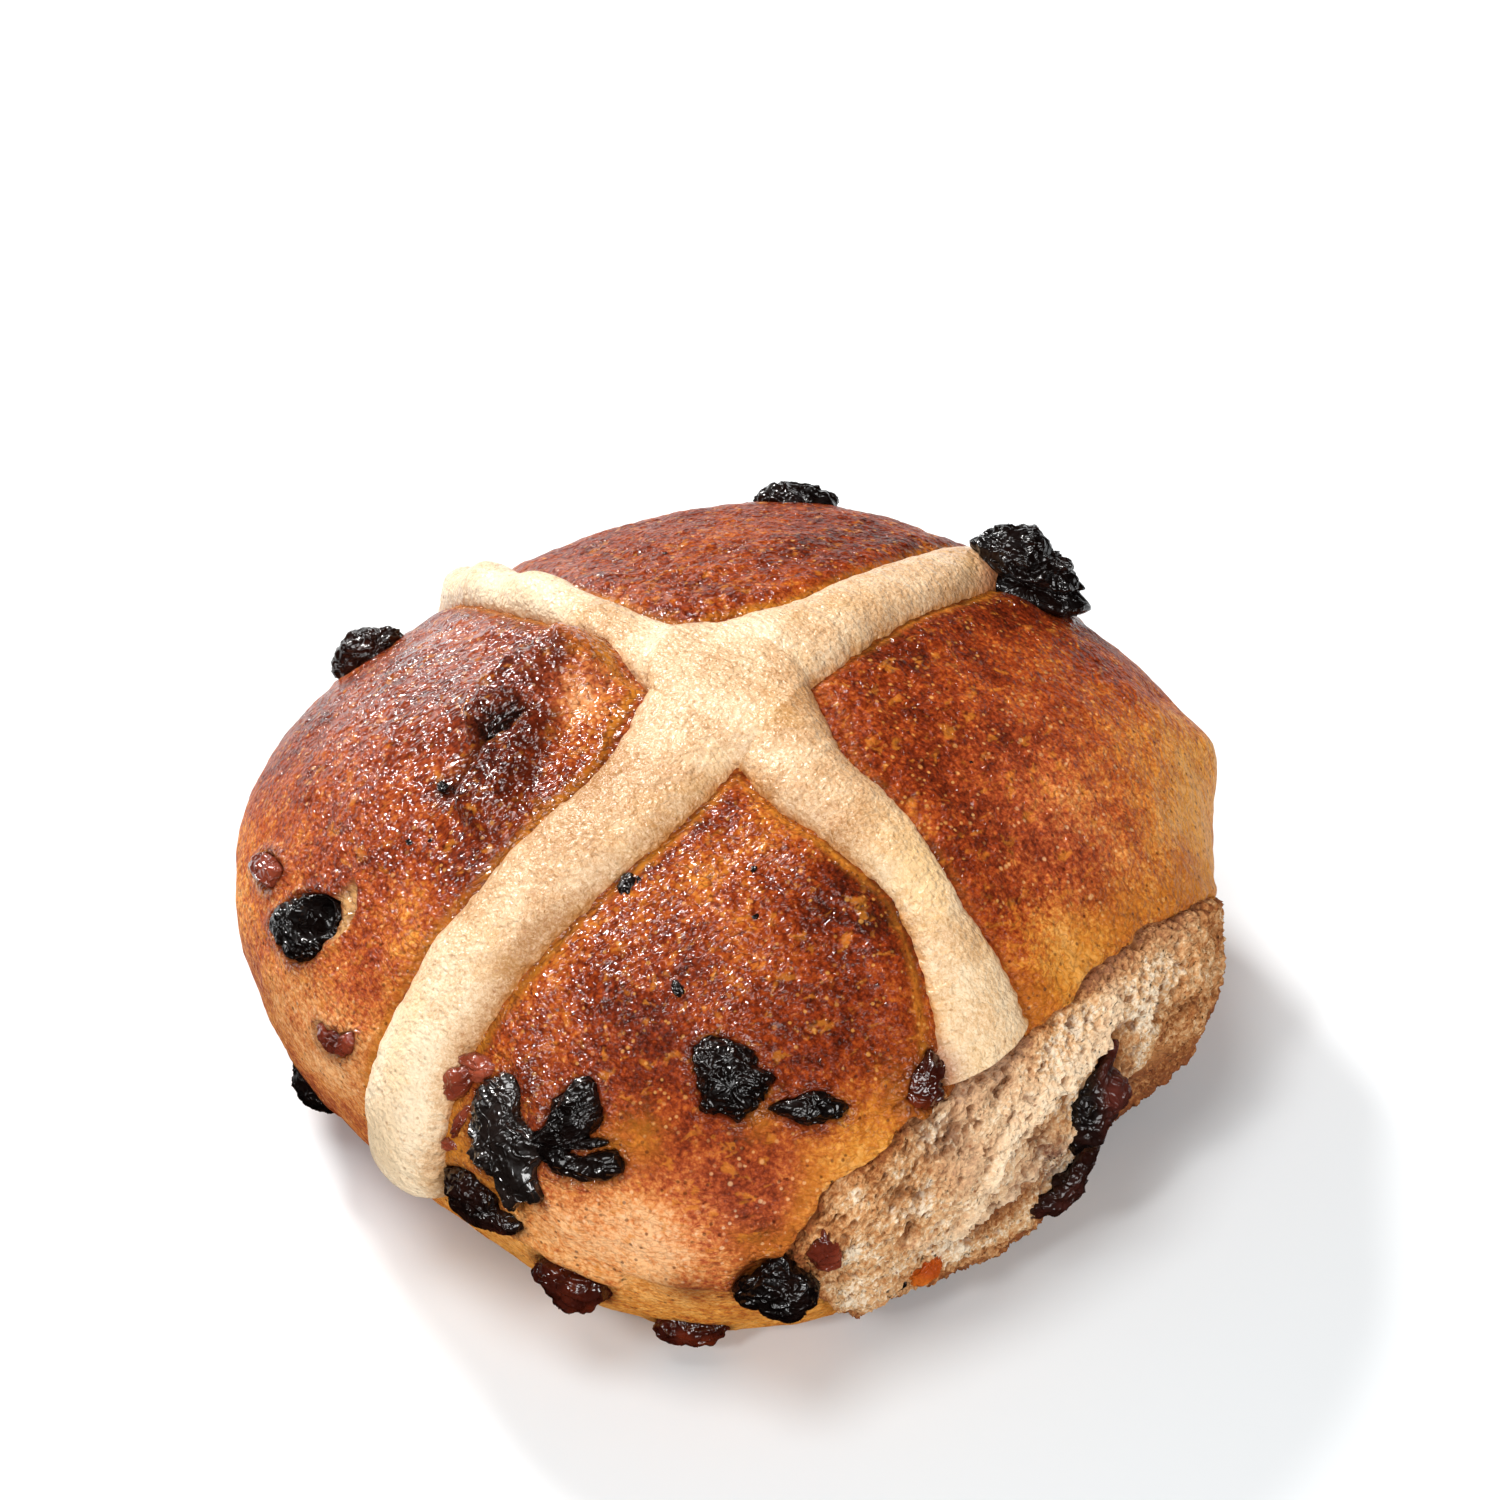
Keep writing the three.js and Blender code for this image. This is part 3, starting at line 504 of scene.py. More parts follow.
def raisin_footprint(P):
    """For each raisin the distance in mm outside its outline on the crust, and the least of them."""
    out = {}
    for name, at, size, roll, lift, kind in PIECES:
        if name in OUTLINES or name == "raisin_top_right":
            c, n, lx, ly = OUTLINE_FRAME[name]
        else:
            c, n, lx, ly = PLACE[name]
        q = P - c
        near = (np.abs(q) < 11).all(1)
        d = np.full(len(P), 99.0)
        if near.any():
            x, y = q[near] @ lx, q[near] @ ly
            rho = np.hypot(x, y)
            if name in OUTLINES or name == "raisin_top_right":
                edge = look_up(OUTLINE_TABLE[name], np.arctan2(y, x))
            else:
                r = math.radians(roll)
                u, v = x * math.cos(r) + y * math.sin(r), -x * math.sin(r) + y * math.cos(r)
                a, b = size[0] / 2, size[1] / 2
                edge = rho / np.maximum(np.sqrt((u / a) ** 2 + (v / b) ** 2), 1e-6)
            d[near] = rho - edge
            if name == "raisin_top_right":
                # it stands out from the crust, and touches it only along its near side
                d[near] += np.maximum(0, -4.0 - q[near] @ n)
        out[name] = d
    for name in ("raisin_tail", "raisin_tail_upper"):
        c, n, lx, ly = OUTLINE_FRAME[name]
        q = P - c
        near = (np.abs(q) < 11).all(1)
        d = np.full(len(P), 99.0)
        if near.any():
            x, y = q[near] @ lx, q[near] @ ly
            d[near] = np.hypot(x, y) - look_up(OUTLINE_TABLE[name], np.arctan2(y, x))
        out[name] = d
    return out


# =========================================================== crust

def crust():
    D, F = geodesic(99)
    # closer together on the top and towards the front, wider apart underneath
    D = unit(D + 0.42 * unit(np.array([0.28, -0.30, 0.91])))
    D = unit(D * np.array([1.38, 1.38, 1.0]))
    r = plain_radius(D)
    P = D * r[:, None]

    # the torn edge wanders, and the mesh follows it exactly
    def torn(P):
        return (tear_distance(P) + 0.55 * perlin(P / 4.3, 5) + 0.28 * perlin(P / 1.5, 6)
                + 0.25 * smooth(-8, -14, P[:, 1]) * perlin(P / 0.8, 7))
    for _ in range(2):
        s = torn(P)
        near = np.abs(s) < 0.34
        q = P[near]
        e = 0.05
        grad = np.stack([(torn(q + np.eye(3)[k] * e) - torn(q - np.eye(3)[k] * e)) / (2 * e) for k in range(3)], 1)
        n = unit(q)
        grad -= (grad * n).sum(1)[:, None] * n
        step = -s[near][:, None] * grad / np.maximum((grad ** 2).sum(1), 0.2)[:, None]
        step *= np.minimum(1, 0.3 / np.maximum(np.linalg.norm(step, axis=1), 1e-6))[:, None]
        q = unit(q + step)
        D[near] = q
        P[near] = q * plain_radius(q)[:, None]
    r = np.linalg.norm(P, axis=1)
    s_tear = torn(P)
    z = P[:, 2] + CZ
    az = np.degrees(np.arctan2(P[:, 1], P[:, 0]))
    el = np.degrees(np.arctan2(P[:, 2], np.hypot(P[:, 0], P[:, 1])))
    s_cross = cross_distance(P)
    feet = raisin_footprint(P)
    nearest = np.min(np.stack(list(feet.values())), 0)
    top = smooth(24, 34, z)

    h = 0.28 * fbm(P / 9.5, 3, 21) + 0.15 * fbm(P / 3.1, 2, 22) * (0.45 + 0.55 * top)
    h += 0.05 * perlin(P / 0.85, 24) * (0.2 + 0.8 * top)
    # the skin is puckered: rounded plates between narrow creases, drawn out level
    drawn = warp(P, 0.7, 2.4, 25) * np.array([0.8, 0.8, 1.35])
    pucker = np.abs(perlin(drawn / 1.55, 26))
    h += (0.26 * np.minimum(pucker, 0.55) - 0.07) * (0.30 + 0.70 * top)
    # the dough puffs up on both sides of the cross, which lies in a valley
    h += 0.42 * bump(s_cross, 2.6, 2.0) * smooth(26, 32, z) - 0.55 * smooth(0.2, -1.8, s_cross)
    h -= 0.22 * bump(s_cross, 0.1, 0.42)
    # fine wrinkles along the back
    ring = np.stack([az * 0.10, el * 0.95, z * 0.25], 1)
    back = smooth(92, 108, az) * smooth(172, 160, az) * smooth(12, 18, el)
    fold = 1 - np.abs(perlin(warp(ring, 0.35, 1.7, 40), 41))
    h += back * (0.16 * (fold ** 3 - 0.5) + 0.05 * perlin(ring * 2.2, 42))
    ring2 = np.stack([az * 0.13, el * 0.6, z * 0.2], 1)
    side = smooth(25, 10, el)
    h += 0.07 * side * ((1 - np.abs(perlin(warp(ring2, 0.5, 2.1, 43), 44))) ** 4 - 0.3)

    def spot(a, e, reach):
        return np.exp(-(2 - 2 * (D @ direction(a, e))) / (2 * (reach / 42) ** 2))

    # the crust humps up over buried fruit at the left: two mounds with a charred groove between them
    w = warp(P, 0.8, 2.2, 50)
    ragged = 0.5 * perlin(P / 2.4, 56)
    d1, t1, side1 = stroke(P, [(-161.8, 52.3), (-152.1, 50.2), (-144.1, 47.4), (-138.0, 43.7)])
    d2, t2, side2 = stroke(P, [(-133.4, 47.9), (-125.9, 43.2), (-120.0, 38.5)])
    slim = 1 - 0.35 * smooth(0.6, 1.0, t1)
    mound1 = np.where(side1 > 0, smooth(3.7, 0.9, d1 + ragged), smooth(5.8 * slim, 1.0, d1 + ragged))
    mound2 = smooth(3.7, 0.9, d2 + ragged)
    dg, tg, _ = stroke(P, [(-142.8, 49.5), (-137.4, 47.7), (-134.8, 44.8), (-132.3, 40.1), (-129.7, 36.6), (-127.7, 34.3)])
    groove = np.exp(-(dg / 0.95) ** 2) * smooth(0.0, 0.2, tg)
    h += np.maximum(3.1 * mound1, 2.2 * mound2) - 2.1 * groove
    hump = np.clip(mound1 + mound2 + groove, 0, 1)
    # its folds run along it
    run_ = unit(np.array([-0.17, 0.97, 0.15]))
    w = w - 0.72 * (w @ run_)[:, None] * run_
    h += hump * (0.48 * (1 - np.abs(perlin(w / 1.5, 51))) ** 2 - 0.16 + 0.14 * (1 - np.abs(perlin(w / 0.75, 52))) ** 2 - 0.06)
    # the hump's right flank, turned away from the key lamp, is painted darker, redder and less glossy: painted shade
    df, tf, _ = stroke(P, [(-158.8, 53.5), (-146.6, 52.6), (-136.6, 52.0), (-127.3, 49.0), (-119.5, 44.4)])
    shaded_flank = bump(df, 0, 1.2)
    # small wrinkles and pits low at the front
    low = spot(-58.8, 2.5, 6.5)
    h += low * 0.20 * (1 - np.abs(perlin(np.stack([az * 0.22, el * 1.1, z * 0], 1), 53))) ** 3
    # the crust laps over a paler skin near the base
    lip = -8.5 + 2.6 * np.sin(np.radians(az * 3.1 + 20)) + 1.2 * perlin(np.stack([az / 14, az * 0, az * 0], 1), 54)
    lip = np.where(np.abs(az + 52) < 9, -5.6, lip)
    under = smooth(lip + 1.0, lip - 1.2, el) * smooth(-24, -19, el)
    h -= 0.55 * under * smooth(40, 30, np.abs(az + 62))
    h += 0.30 * bump(el, lip + 1.8, 1.6) * smooth(40, 30, np.abs(az + 62))

    # the crust dips under each raisin and stands in a soft rim round it
    rim = np.zeros(len(P))
    for name, d in feet.items():
        deep = {"raisin_left_crater": 3.4, "raisin_top_right": 0.4, "raisin_corner": 0.9}.get(name, 1.1)
        h -= deep * smooth(0.25, -0.9, d)
        rim = np.maximum(rim, bump(d, 0.55, 0.65))
    h += 0.22 * rim * smooth(-0.2, 0.3, nearest)
    # the tongue of crust between the two lobes at the front left
    dt, tt, _ = stroke(P, [(-78, 17), (-75.4, 14.2), (-73.4, 11.6)])
    tongue = np.exp(-(dt / 1.45) ** 2)
    h += 1.25 * tongue
    # the thin skin beside the crater on the left
    c, n, lx, ly = local_frame(-120.6, 10.2)
    q = P - c
    x, y = q @ lx - 0.6, q @ ly - 1.0
    around = np.degrees(np.arctan2(y, x))
    ringd = np.hypot(x, y) - (3.6 + 2.3 * smooth(0, 75, around))
    skin = smooth(0.25, -0.4, ringd) * smooth(4, 16, around) * smooth(88, 74, around) * smooth(-0.1, 0.3, feet["raisin_left_crater"])
    skin = skin * (np.linalg.norm(q, axis=1) < 9)
    h -= 0.75 * skin
    h += 0.35 * bump(ringd, 0.3, 0.3) * smooth(0, 14, around) * smooth(92, 78, around) * (np.linalg.norm(q, axis=1) < 9)
    # a buried raisin shows as a low swelling to the left of the front corner
    h += 0.35 * spot(-50.5, -5.5, 3.0)

    # a shoulder stands out below the big raisin at the back right
    h += 1.05 * spot(64.0, 4.0, 2.5) - 0.80 * spot(70.0, 9.5, 1.5)

    # at the tear the crust ends in a thin lip, and falls away behind the crumb
    inside = smooth(-0.02, 0.42, s_tear)
    crack = bump(s_tear, -1.15, 0.26) * smooth(-6, -11, P[:, 1]) * smooth(-0.15, 0.25, perlin(P / 3.0, 55))
    h = h * (1 - inside) - (2.7 + 3.8 * tucked(P)) * inside + 0.22 * bump(s_tear, -0.5, 0.5) - 0.45 * crack
    R = r + h
    V = D * R[:, None]
    V[:, 2] = np.maximum(V[:, 2], BASE - CZ)

    # ---------------- painting: how far it is baked, its hue, its glaze and its burnt places, with painted shade and painted highlight where marked below
    bake = 0.63 + 0.12 * fbm(P / 11, 3, 60) + 0.06 * fbm(P / 4, 2, 61)
    bake -= 0.30 * smooth(33, 17, z)
    bake += 0.05 * smooth(60, 20, np.abs(az + 145))
    # baked darker or lighter in given spots; the lighter spots at (-146, 57) and (-136.5, 57.5), right of the hump,
    # also stand for the glaze's broad sheen there: painted highlight
    for a, e, reach, amount in [
            (-150, 42, 6.5, .10), (-126, 41, 3.5, .14), (-150, 30, 8, .04), (-165, 22, 9, .08), (-136, 14, 6, -.04), (-135, 5, 5, -.20),
            (-166.5, 51.8, 1.9, -.55), (-162, 56.5, 2.6, -.26), (-146, 57, 4.0, -.36), (-150, 30, 9, -.06), (-136.5, 57.5, 4.0, -.16), (-131.3, 35.5, 1.6, -.2), (-115, 30, 5, .05), (-106, 20, 3.4, -.26), (-101, 12, 3.0, -.16), (-112, 8, 6, -.02),
            (-114, 2, 6, .06), (-104, -3, 5, .02),
            (-42, 58, 4.0, -.22), (-60, 50, 3.2, -.22), (-72, 41, 3.0, -.20), (-80, 33, 2.2, -.14),
            (-21, 44, 5.0, .08), (-15, 35, 4.2, .09), (-33, 34, 6, .05), (-33, 26, 5, .06), (-77, 25, 6, .10), (-66, 27, 5, .05),
            (-58, 15, 4, .10), (-52, 12, 4, .03), (-40, 12, 4, -.08), (-30, 14, 5, -.05), (-26, 22, 4, -.05), (-44, 7, 3.5, .16),
            (-70, 2, 6, -.12), (-61, 1, 5, -.12), (-36, 3, 4, -.12),
            (63, 60, 5, .05), (82, 51, 3.2, .13), (88, 38, 3.4, .10), (72, 40, 6, .03), (60, 58, 6, .03), (64, 4, 2.6, -.10), (41, 37, 8, .05), (20, 40, 6, .05), (5, 38, 4, .06), (45, 17, 7, -.16),
            (52, 8, 7, -.26), (26, 18, 5, -.18), (6, 22, 4, -.20), (14, 26, 4, -.06), (62, 16, 5, -.12),
            (-111, 1, 5, -.20), (-60, 3, 5, -.16), (-32, 8, 4, -.05), (11, 17, 4.5, -.14), (47, 9, 5, -.10), (-137, 12, 5, .07),
            (-56, 16, 4.5, .10), (-60, 3, 5, -.06), (71, 49, 6, -.05), (29, 37, 7, -.03), (-43, 7, 3.5, .06), (-78, 25, 5, -.06), (46, 16, 5, -.06), (-111, 14, 4, .05), (144, 38, 8, .06), (117, 25, 7, .07), (160, 28, 7, -.03), (100, 20, 4, .08), (-158, 30, 8, -.05), (-81, 25, 5, -.20), (-122, 23, 6, -.10), (-112, 3, 6, -.13), (-104, -1, 4, -.08), (-158, 28, 8, -.05), (47, 14, 5, .05), (-46, 58, 4, -.08), (-32, 9, 4, -.09), (-56, 16, 4, .02), (-43, 7, 5, .05), (11, 17, 4, -.17), (-33, 9, 3, -.12), (-52, 4.5, 3.2, -.16), (50, 13, 5, -.04), (30, 9, 4, -.05), (-122, 36, 4, -.03), (-41.6, 6, 3, .06), (-59, 17.5, 3.5, -.08), (-20, 40, 3, .10), (-40, 13.5, 3, -.09), (-31, 10, 3, -.05), (35, 21, 4, -.05), (28, 30, 5, .0), (-64, 30, 6, .03), (-32.5, 8.5, 3.2, -.06), (11, 17, 3.5, -.06), (-59, 18, 3.0, -.06), (-20, 40, 3, -.05)]:
        bake = bake + amount * spot(a, e, reach)
    # darker on the mounds and the tongue; the flank term is painted shade
    bake = bake + 0.20 * np.clip(mound1 + mound2, 0, 1) + 0.16 * shaded_flank + 0.16 * tongue
    golden = bump(s_cross, 0.40, 0.50) * (0.55 + 0.45 * smooth(-0.3, 0.5, perlin(P / 5, 62))) * (1 - 0.85 * smooth(-22, -8, az) * smooth(94, 82, az))
    golden += 0.2 * spot(-166.5, 51.8, 1.6) + 0.25 * spot(-162, 56.4, 1.6) + 0.35 * spot(47, 9, 6)
    golden += 0.5 * bump(s_tear, -1.2, 1.8)
    for a, e, reach in [(-83.8, 3.6, 1.5), (-85.2, 1.6, 1.1), (-78.9, .9, 1.1), (-76.6, -.2, 1.0), (-74.8, .2, .8), (-60.1, 12.9, 1.4),
                        (-64.5, 11.3, 1.2), (-44.9, 16.7, 1.2)]:
        golden = golden + 0.6 * spot(a, e, reach)
    lowskin = smooth(lip + 0.6, lip - 0.8, el) * smooth(40, 30, np.abs(az + 62))
    bake = bake * (1 - 0.50 * lowskin)
    under_bun = smooth(-30, -36, el)
    bake = bake * (1 - under_bun) + (0.62 + 0.10 * fbm(P / 7, 3, 63)) * under_bun
    # salmon hue: the crust's own pinker tone low at the front, left and right; over the hump at the left (about -146 to
    # -154 azimuth) it is painted highlight for the glaze's pinkish sheen
    salmon_and_sheen = (0.75 * spot(-66, 1.5, 6.5) + 0.45 * spot(-50, 1.5, 5) + 0.5 * spot(-120, -2, 9) + 0.45 * spot(-104, 3, 6)
            + 0.35 * spot(-41, 8, 3.5) + 0.75 * spot(-146, 58, 4) + 0.55 * spot(-154, 48, 5) + 0.55 * spot(-150, 34, 9) + 0.12 * spot(-130, 20, 8) + 0.45 * spot(40, 30, 9) + 0.35 * spot(24, 29, 6) + 0.3 * spot(-52, 5, 4))
    salmon_and_sheen = salmon_and_sheen * (1 - 0.4 * lowskin) * (1 - 0.7 * golden)
    mess = fbm(P / 1.6, 3, 65)
    streak = perlin(w / 1.1, 57)
    # burnt places: the black groove and parts of the mounds; the small flank term is painted shade
    char = 1.0 * groove + 0.12 * shaded_flank * smooth(-0.4, 0.3, mess) + 0.22 * mound1 ** 2 * smooth(0.05, 0.55, streak) * smooth(0.05, 0.35, t1)
    char = char + 0.30 * mound2 ** 2 * smooth(-0.15, 0.45, mess)
    char = np.clip(np.maximum(char, 0.9 * spot(-127.6, 33.1, 0.8)), 0, 1)
    # red-brown fruit stains round the raisins; further down the same mask also carries painted shade
    stain = 0.75 * bump(np.maximum(nearest, 0), 0.0, 0.85)
    stain = np.maximum(stain, 0.8 * smooth(0.1, -0.4, nearest))
    stain = np.maximum(stain, 0.9 * spot(-53, -6.0, 1.9))
    # painted shade on the hump's flank, in the red-brown stain colour
    stain = np.maximum(stain, 0.95 * shaded_flank * smooth(-0.5, 0.1, mess))
    # painted shade in the crack at the tear; the tongue's own dark red-brown
    stain = np.maximum(stain * (1 - 0.9 * skin), np.maximum(crack, 0.5 * tongue))
    # a dark line along the cross's edge: the joint's own brown, with painted shade where the paste stands above the
    # crust
    stain = np.maximum(stain, 0.75 * bump(s_cross, 0.02, 0.20) * smooth(-0.6, 0.3, perlin(P / 3, 68)))
    gloss = 0.02 + 0.15 * smooth(14, 32, z)
    for a, e, reach, amount in [(-158, 36, 12, 1.2), (-125, 40, 8, .62), (-146, 58, 6, 1.1), (-128, 52, 5, .55), (150, 44, 14, .20), (-84, 27, 7, .78), (-72, 42, 6, .50),
                                (-62, 30, 5, -.10), (-50, 32, 4, .38), (-57, 16, 5, -.16), (-42, 14, 4, -.12), (-137, 10, 7, -.22), (-47, 57, 6, .50), (-30, 44, 7, .20), (-122, 23, 7, .16), (20, 36, 14, -.05), (70, 48, 8, .10)]:
        gloss = gloss + amount * spot(a, e, reach)
    gloss = np.clip(gloss + 0.5 * groove + 0.5 * rim * smooth(0, 12, z) + 0.6 * tongue + 0.3 * hump - 0.6 * shaded_flank, 0.008, 1)
    # darker in the creases between the puckered plates on top: painted shade
    stain = np.maximum(stain, 0.35 * smooth(0.10, 0.02, pucker) * top * (1 - 0.5 * smooth(-10, 40, az) * smooth(90, 60, az)))
    wall = smooth(-0.05, 0.5, s_tear)
    attributes = {
        "paint": np.stack([np.clip(bake, 0, 0.84), np.clip(salmon_and_sheen, 0, 1), gloss], 1),
        "marks": np.stack([np.clip(char, 0, 1), np.clip(golden, 0, 1), np.clip(stain, 0, 1)], 1),
        "more": np.stack([np.clip(skin, 0, 1), wall, np.clip(lowskin, 0, 1)], 1),
        "lay": np.stack([smooth(20, 32, el) * smooth(100, 72, np.abs(az + 105)), 0 * el, 0 * el], 1),
    }
    return V, F, attributes


# =========================================================== crumb of the torn side

def crumb_column(y, z):
    """x of the plain surface at given y and z (relative to the centre)."""
    lo, hi = np.full(len(y), 5.0), np.full(len(y), 55.0)
    for _ in range(26):
        x = (lo + hi) / 2
        p = np.stack([x, y, z], 1)
        n = np.linalg.norm(p, axis=1)
        out = n > plain_radius(p / n[:, None])
        hi = np.where(out, x, hi)
        lo = np.where(out, lo, x)
    return (lo + hi) / 2


RIDGE = [(-14.0, 14.5), (-11.2, 18.6), (-8.2, 22.2), (-5.5, 23.3), (-2.7, 24.1), (2.1, 24.2), (5.9, 24.8), (8.6, 26.4)]


LEDGE2 = [(-20.0, 17.2), (-18.3, 16.3), (-15.5, 14.9), (-12.4, 14.4), (-8.5, 15.0), (-4.6, 16.2), (-1.5, 17.6), (1.0, 18.6)]


def crumb():
    ny, nz = 525, 162
    u = np.linspace(-1, 1, ny)
    y = 1.0 + 30.7 * np.sign(u) * (1 - (1 - np.abs(u)) ** 1.06)
    v = np.linspace(0, 1, nz)
    Y = np.repeat(y, nz)
    T = np.tile(v, ny)
    ragged = np.stack([Y / 1.6, Y * 0, Y * 0 + 0.3], 1)
    lo, up = interp(TEAR_LOW, Y) - 0.6 + 0.5 * perlin(ragged, 97), interp(TEAR_UP, Y) + 1.2
    Z = lo + (up - lo) * T
    X = crumb_column(Y, Z - CZ)
    P = np.stack([X, Y, Z - CZ], 1)
    N = surface_normals(unit(P))
    s = tear_distance(P)
    inner = smooth(-0.6, 1.2, np.minimum(interp(TEAR_UP, Y) - Z, 29.3 + Y))
    rise = smooth(0.0, 0.9, Z - lo) * smooth(0.0, 0.8, 31.6 - Y)

    # torn lumps, then pores between thin walls at three sizes, drawn out along the tear
    axis = unit(np.array([0.2, 0.75, 0.62]))
    Q = P - 0.38 * (P @ axis)[:, None] * axis
    lumps = fbm(P / 8.5, 2, 80)
    mid = fbm(warp(Q, 1.2, 4.0, 81) / 3.2, 3, 82)
    f1, f2, tag = worley(warp(Q, 0.9, 2.0, 83) / 2.1, 84)
    some = smooth(0.40, 0.85, tag) * smooth(-0.3, 0.4, perlin(P / 4.5, 85))
    open1 = some * smooth(0.62, 0.15, f1)
    g1, g2, tag2 = worley(warp(Q, 0.5, 1.1, 86) / 0.95, 87)
    open2 = smooth(0.25, 0.75, tag2) * smooth(0.62, 0.12, g1)
    k1, k2, tag3 = worley(warp(Q, 0.2, 0.6, 98) / 0.48, 88)
    open3 = smooth(0.2, 0.8, tag3) * smooth(0.60, 0.10, k1)
    thread = (1 - np.abs(perlin(warp(Q, 0.5, 1.0, 89) / 0.80, 90))) ** 4
    h = 0.38 * lumps + 0.34 * mid - 1.00 * open1 - 0.72 * open2 - 0.34 * open3 + 0.42 * (thread - 0.3) + 0.24
    # small deep holes
    hole, _, t3 = worley(warp(Q, 0.3, 1.0, 91) / 1.5, 92)
    pit = smooth(0.30, 0.12, hole) * smooth(0.62, 0.8, t3)
    h -= 0.55 * pit
    # a few larger torn hollows
    hollow = np.zeros(len(P))
    for az, el, reach, deep in [(-19.5, 8.2, 1.5, 1.0), (-24.5, 8.9, 1.7, .8), (-23.5, 12.6, 1.3, .7), (-26, 5, 2.2, .5), (22, 2, 2.0, .4), (31, -2, 2.2, .4)]:
        m = np.exp(-(2 - 2 * (unit(P) @ direction(az, el))) / (2 * (reach / 42) ** 2))
        h -= deep * m
        hollow = np.maximum(hollow, m * deep)

    # a ledge of crumb hangs over the raisin, and a second one over the fruit at the base
    zr = interp(RIDGE, Y)
    over = Z - zr + 0.8 * perlin(P / 2.6, 93) + 0.5 * perlin(P / 1.0, 94)
    span = smooth(-15, -11, Y) * smooth(10.5, 7.5, Y)
    ledge = span * bump(over, 1.0, 1.3)
    h += 0.8 * ledge
    below = span * smooth(0.25, -0.45, over) * smooth(-14, -8, over)
    right = smooth(-9, -2, Y)
    h -= below * (0.15 + 0.85 * right * smooth(-6, -2.5, over))
    over2 = Z - interp(LEDGE2, Y) + 0.6 * perlin(P / 2.0, 100) + 0.4 * perlin(P / 0.9, 101)
    span2 = smooth(-20.5, -17, Y) * smooth(2.5, -0.5, Y)
    h += 0.6 * span2 * bump(over2, 0.8, 0.9) - 0.7 * span2 * smooth(0.2, -0.4, over2)
    # skin stretched below the raisin at the right, almost smooth
    c, n, lx, ly = local_frame(19, -8.5)
    q = P - c
    skin = np.exp(-((q @ lx) / 2.8) ** 4 - ((q @ ly) / 2.0) ** 4) * smooth(7.0, 9.5, Y)
    h = h * (1 - 0.8 * skin) - 0.15 * skin
    # the crumb stands a little proud at its ends and along the base
    h += 0.55 * smooth(14, 20, Y) + 0.2 * smooth(-20, -24, Y) + 0.75 * smooth(14, 8, Z) * smooth(-24, -18, Y)
    h += 0.40 * perlin(P / 1.7, 99) * np.maximum(smooth(12, 7, Z), smooth(14, 20, Y))
    h = np.clip(h, -2.2, 1.7)
    # it is drawn in below the fruit at the right
    tuck = tucked(P)
    h -= 3.0 * tuck
    h = -0.9 + (h + 0.9 - 0.15) * inner
    h = -1.7 - 1.5 * tuck + (h + 1.7 + 1.5 * tuck) * rise
    V = P + N * h[:, None]

    idx = np.arange(ny * nz).reshape(ny, nz)
    a, b, c_, d = idx[:-1, :-1].ravel(), idx[1:, :-1].ravel(), idx[1:, 1:].ravel(), idx[:-1, 1:].ravel()
    F = np.concatenate([np.stack([a, b, c_], 1), np.stack([a, c_, d], 1)])
    # closed behind by straight lines from the lower edge to the upper edge, and by fans at its two ends
    l, t = idx[:, 0], idx[:, -1]
    F = np.concatenate([F, np.stack([l[:-1], t[:-1], t[1:]], 1), np.stack([l[:-1], t[1:], l[1:]], 1)])
    for col, flip in ((idx[0], False), (idx[-1], True)):
        k = np.arange(1, nz - 1)
        fan = np.stack([np.full(len(k), col[0]), col[k], col[k + 1]], 1)
        F = np.concatenate([F, fan[:, ::-1] if flip else fan])

    # darker where the crumb lies low and in its open pores, less so on the raised threads: painted shade
    low = np.clip(0.40 - h * 0.50 + 0.55 * open2 + 0.4 * open3 - 0.45 * thread, 0, 1)
    tint = 0.30 + 0.5 * fbm(P / 6, 2, 95)
    # browner and yellower towards the right end, the bottom and the upper rim
    tint += 0.55 * smooth(9, 17, Y) * smooth(19, 12, Z - 0.35 * (Y - 10)) + 0.35 * smooth(11.0, 6.0, Z) * smooth(-26, -16, Y)
    tint += 0.60 * bump(s, 0.2, 1.1)
    # paler along the ledges that stand out (painted highlight on their tops), and in two patches higher up
    pale = 0.9 * ledge + 0.6 * span2 * bump(over2, 0.8, 0.8) + 0.5 * smooth(-18, -12, Y) * smooth(0, -7, Y) * smooth(13, 17, Z)
    pale += 0.1 * smooth(2, 8, Y) * smooth(24, 26, Z)
    # stained by fruit round the raisin, near the raisin at the base, and near the corner
    def near(az, el, rx, ry):
        c, n, lx, ly = local_frame(az, el)
        q = P - c
        return np.exp(-((q @ lx) / rx) ** 2 - ((q @ ly) / ry) ** 2)
    stain = 0.85 * near(-5.0, -2.5, 2.4, 1.6) + 0.9 * near(-2.5, -8.5, 3.4, 2.2) + 0.75 * near(-15.0, -9.5, 3.6, 1.5)
    stain += 0.75 * tuck + 0.45 * near(13, -2, 1.8, 4.0) + 0.5 * near(-36.5, -2, 1.2, 2.6) + 0.5 * near(-19.0, 8.0, 1.2, .8)
    stain = stain * (0.55 + 0.6 * smooth(-0.3, 0.4, perlin(P / 1.2, 96)))
    attributes = {
        "paint": np.stack([np.clip(tint, 0, 1), np.clip(pale, 0, 1), np.clip(low, 0, 1)], 1),
        # the third mark is painted shade in the small holes, open pores and torn hollows
        "marks": np.stack([np.clip(stain, 0, 1), np.clip(skin, 0, 1), np.clip(pit + 0.7 * open1 + 0.4 * hollow, 0, 1)], 1),
    }
    return V, F, attributes


# =========================================================== cross

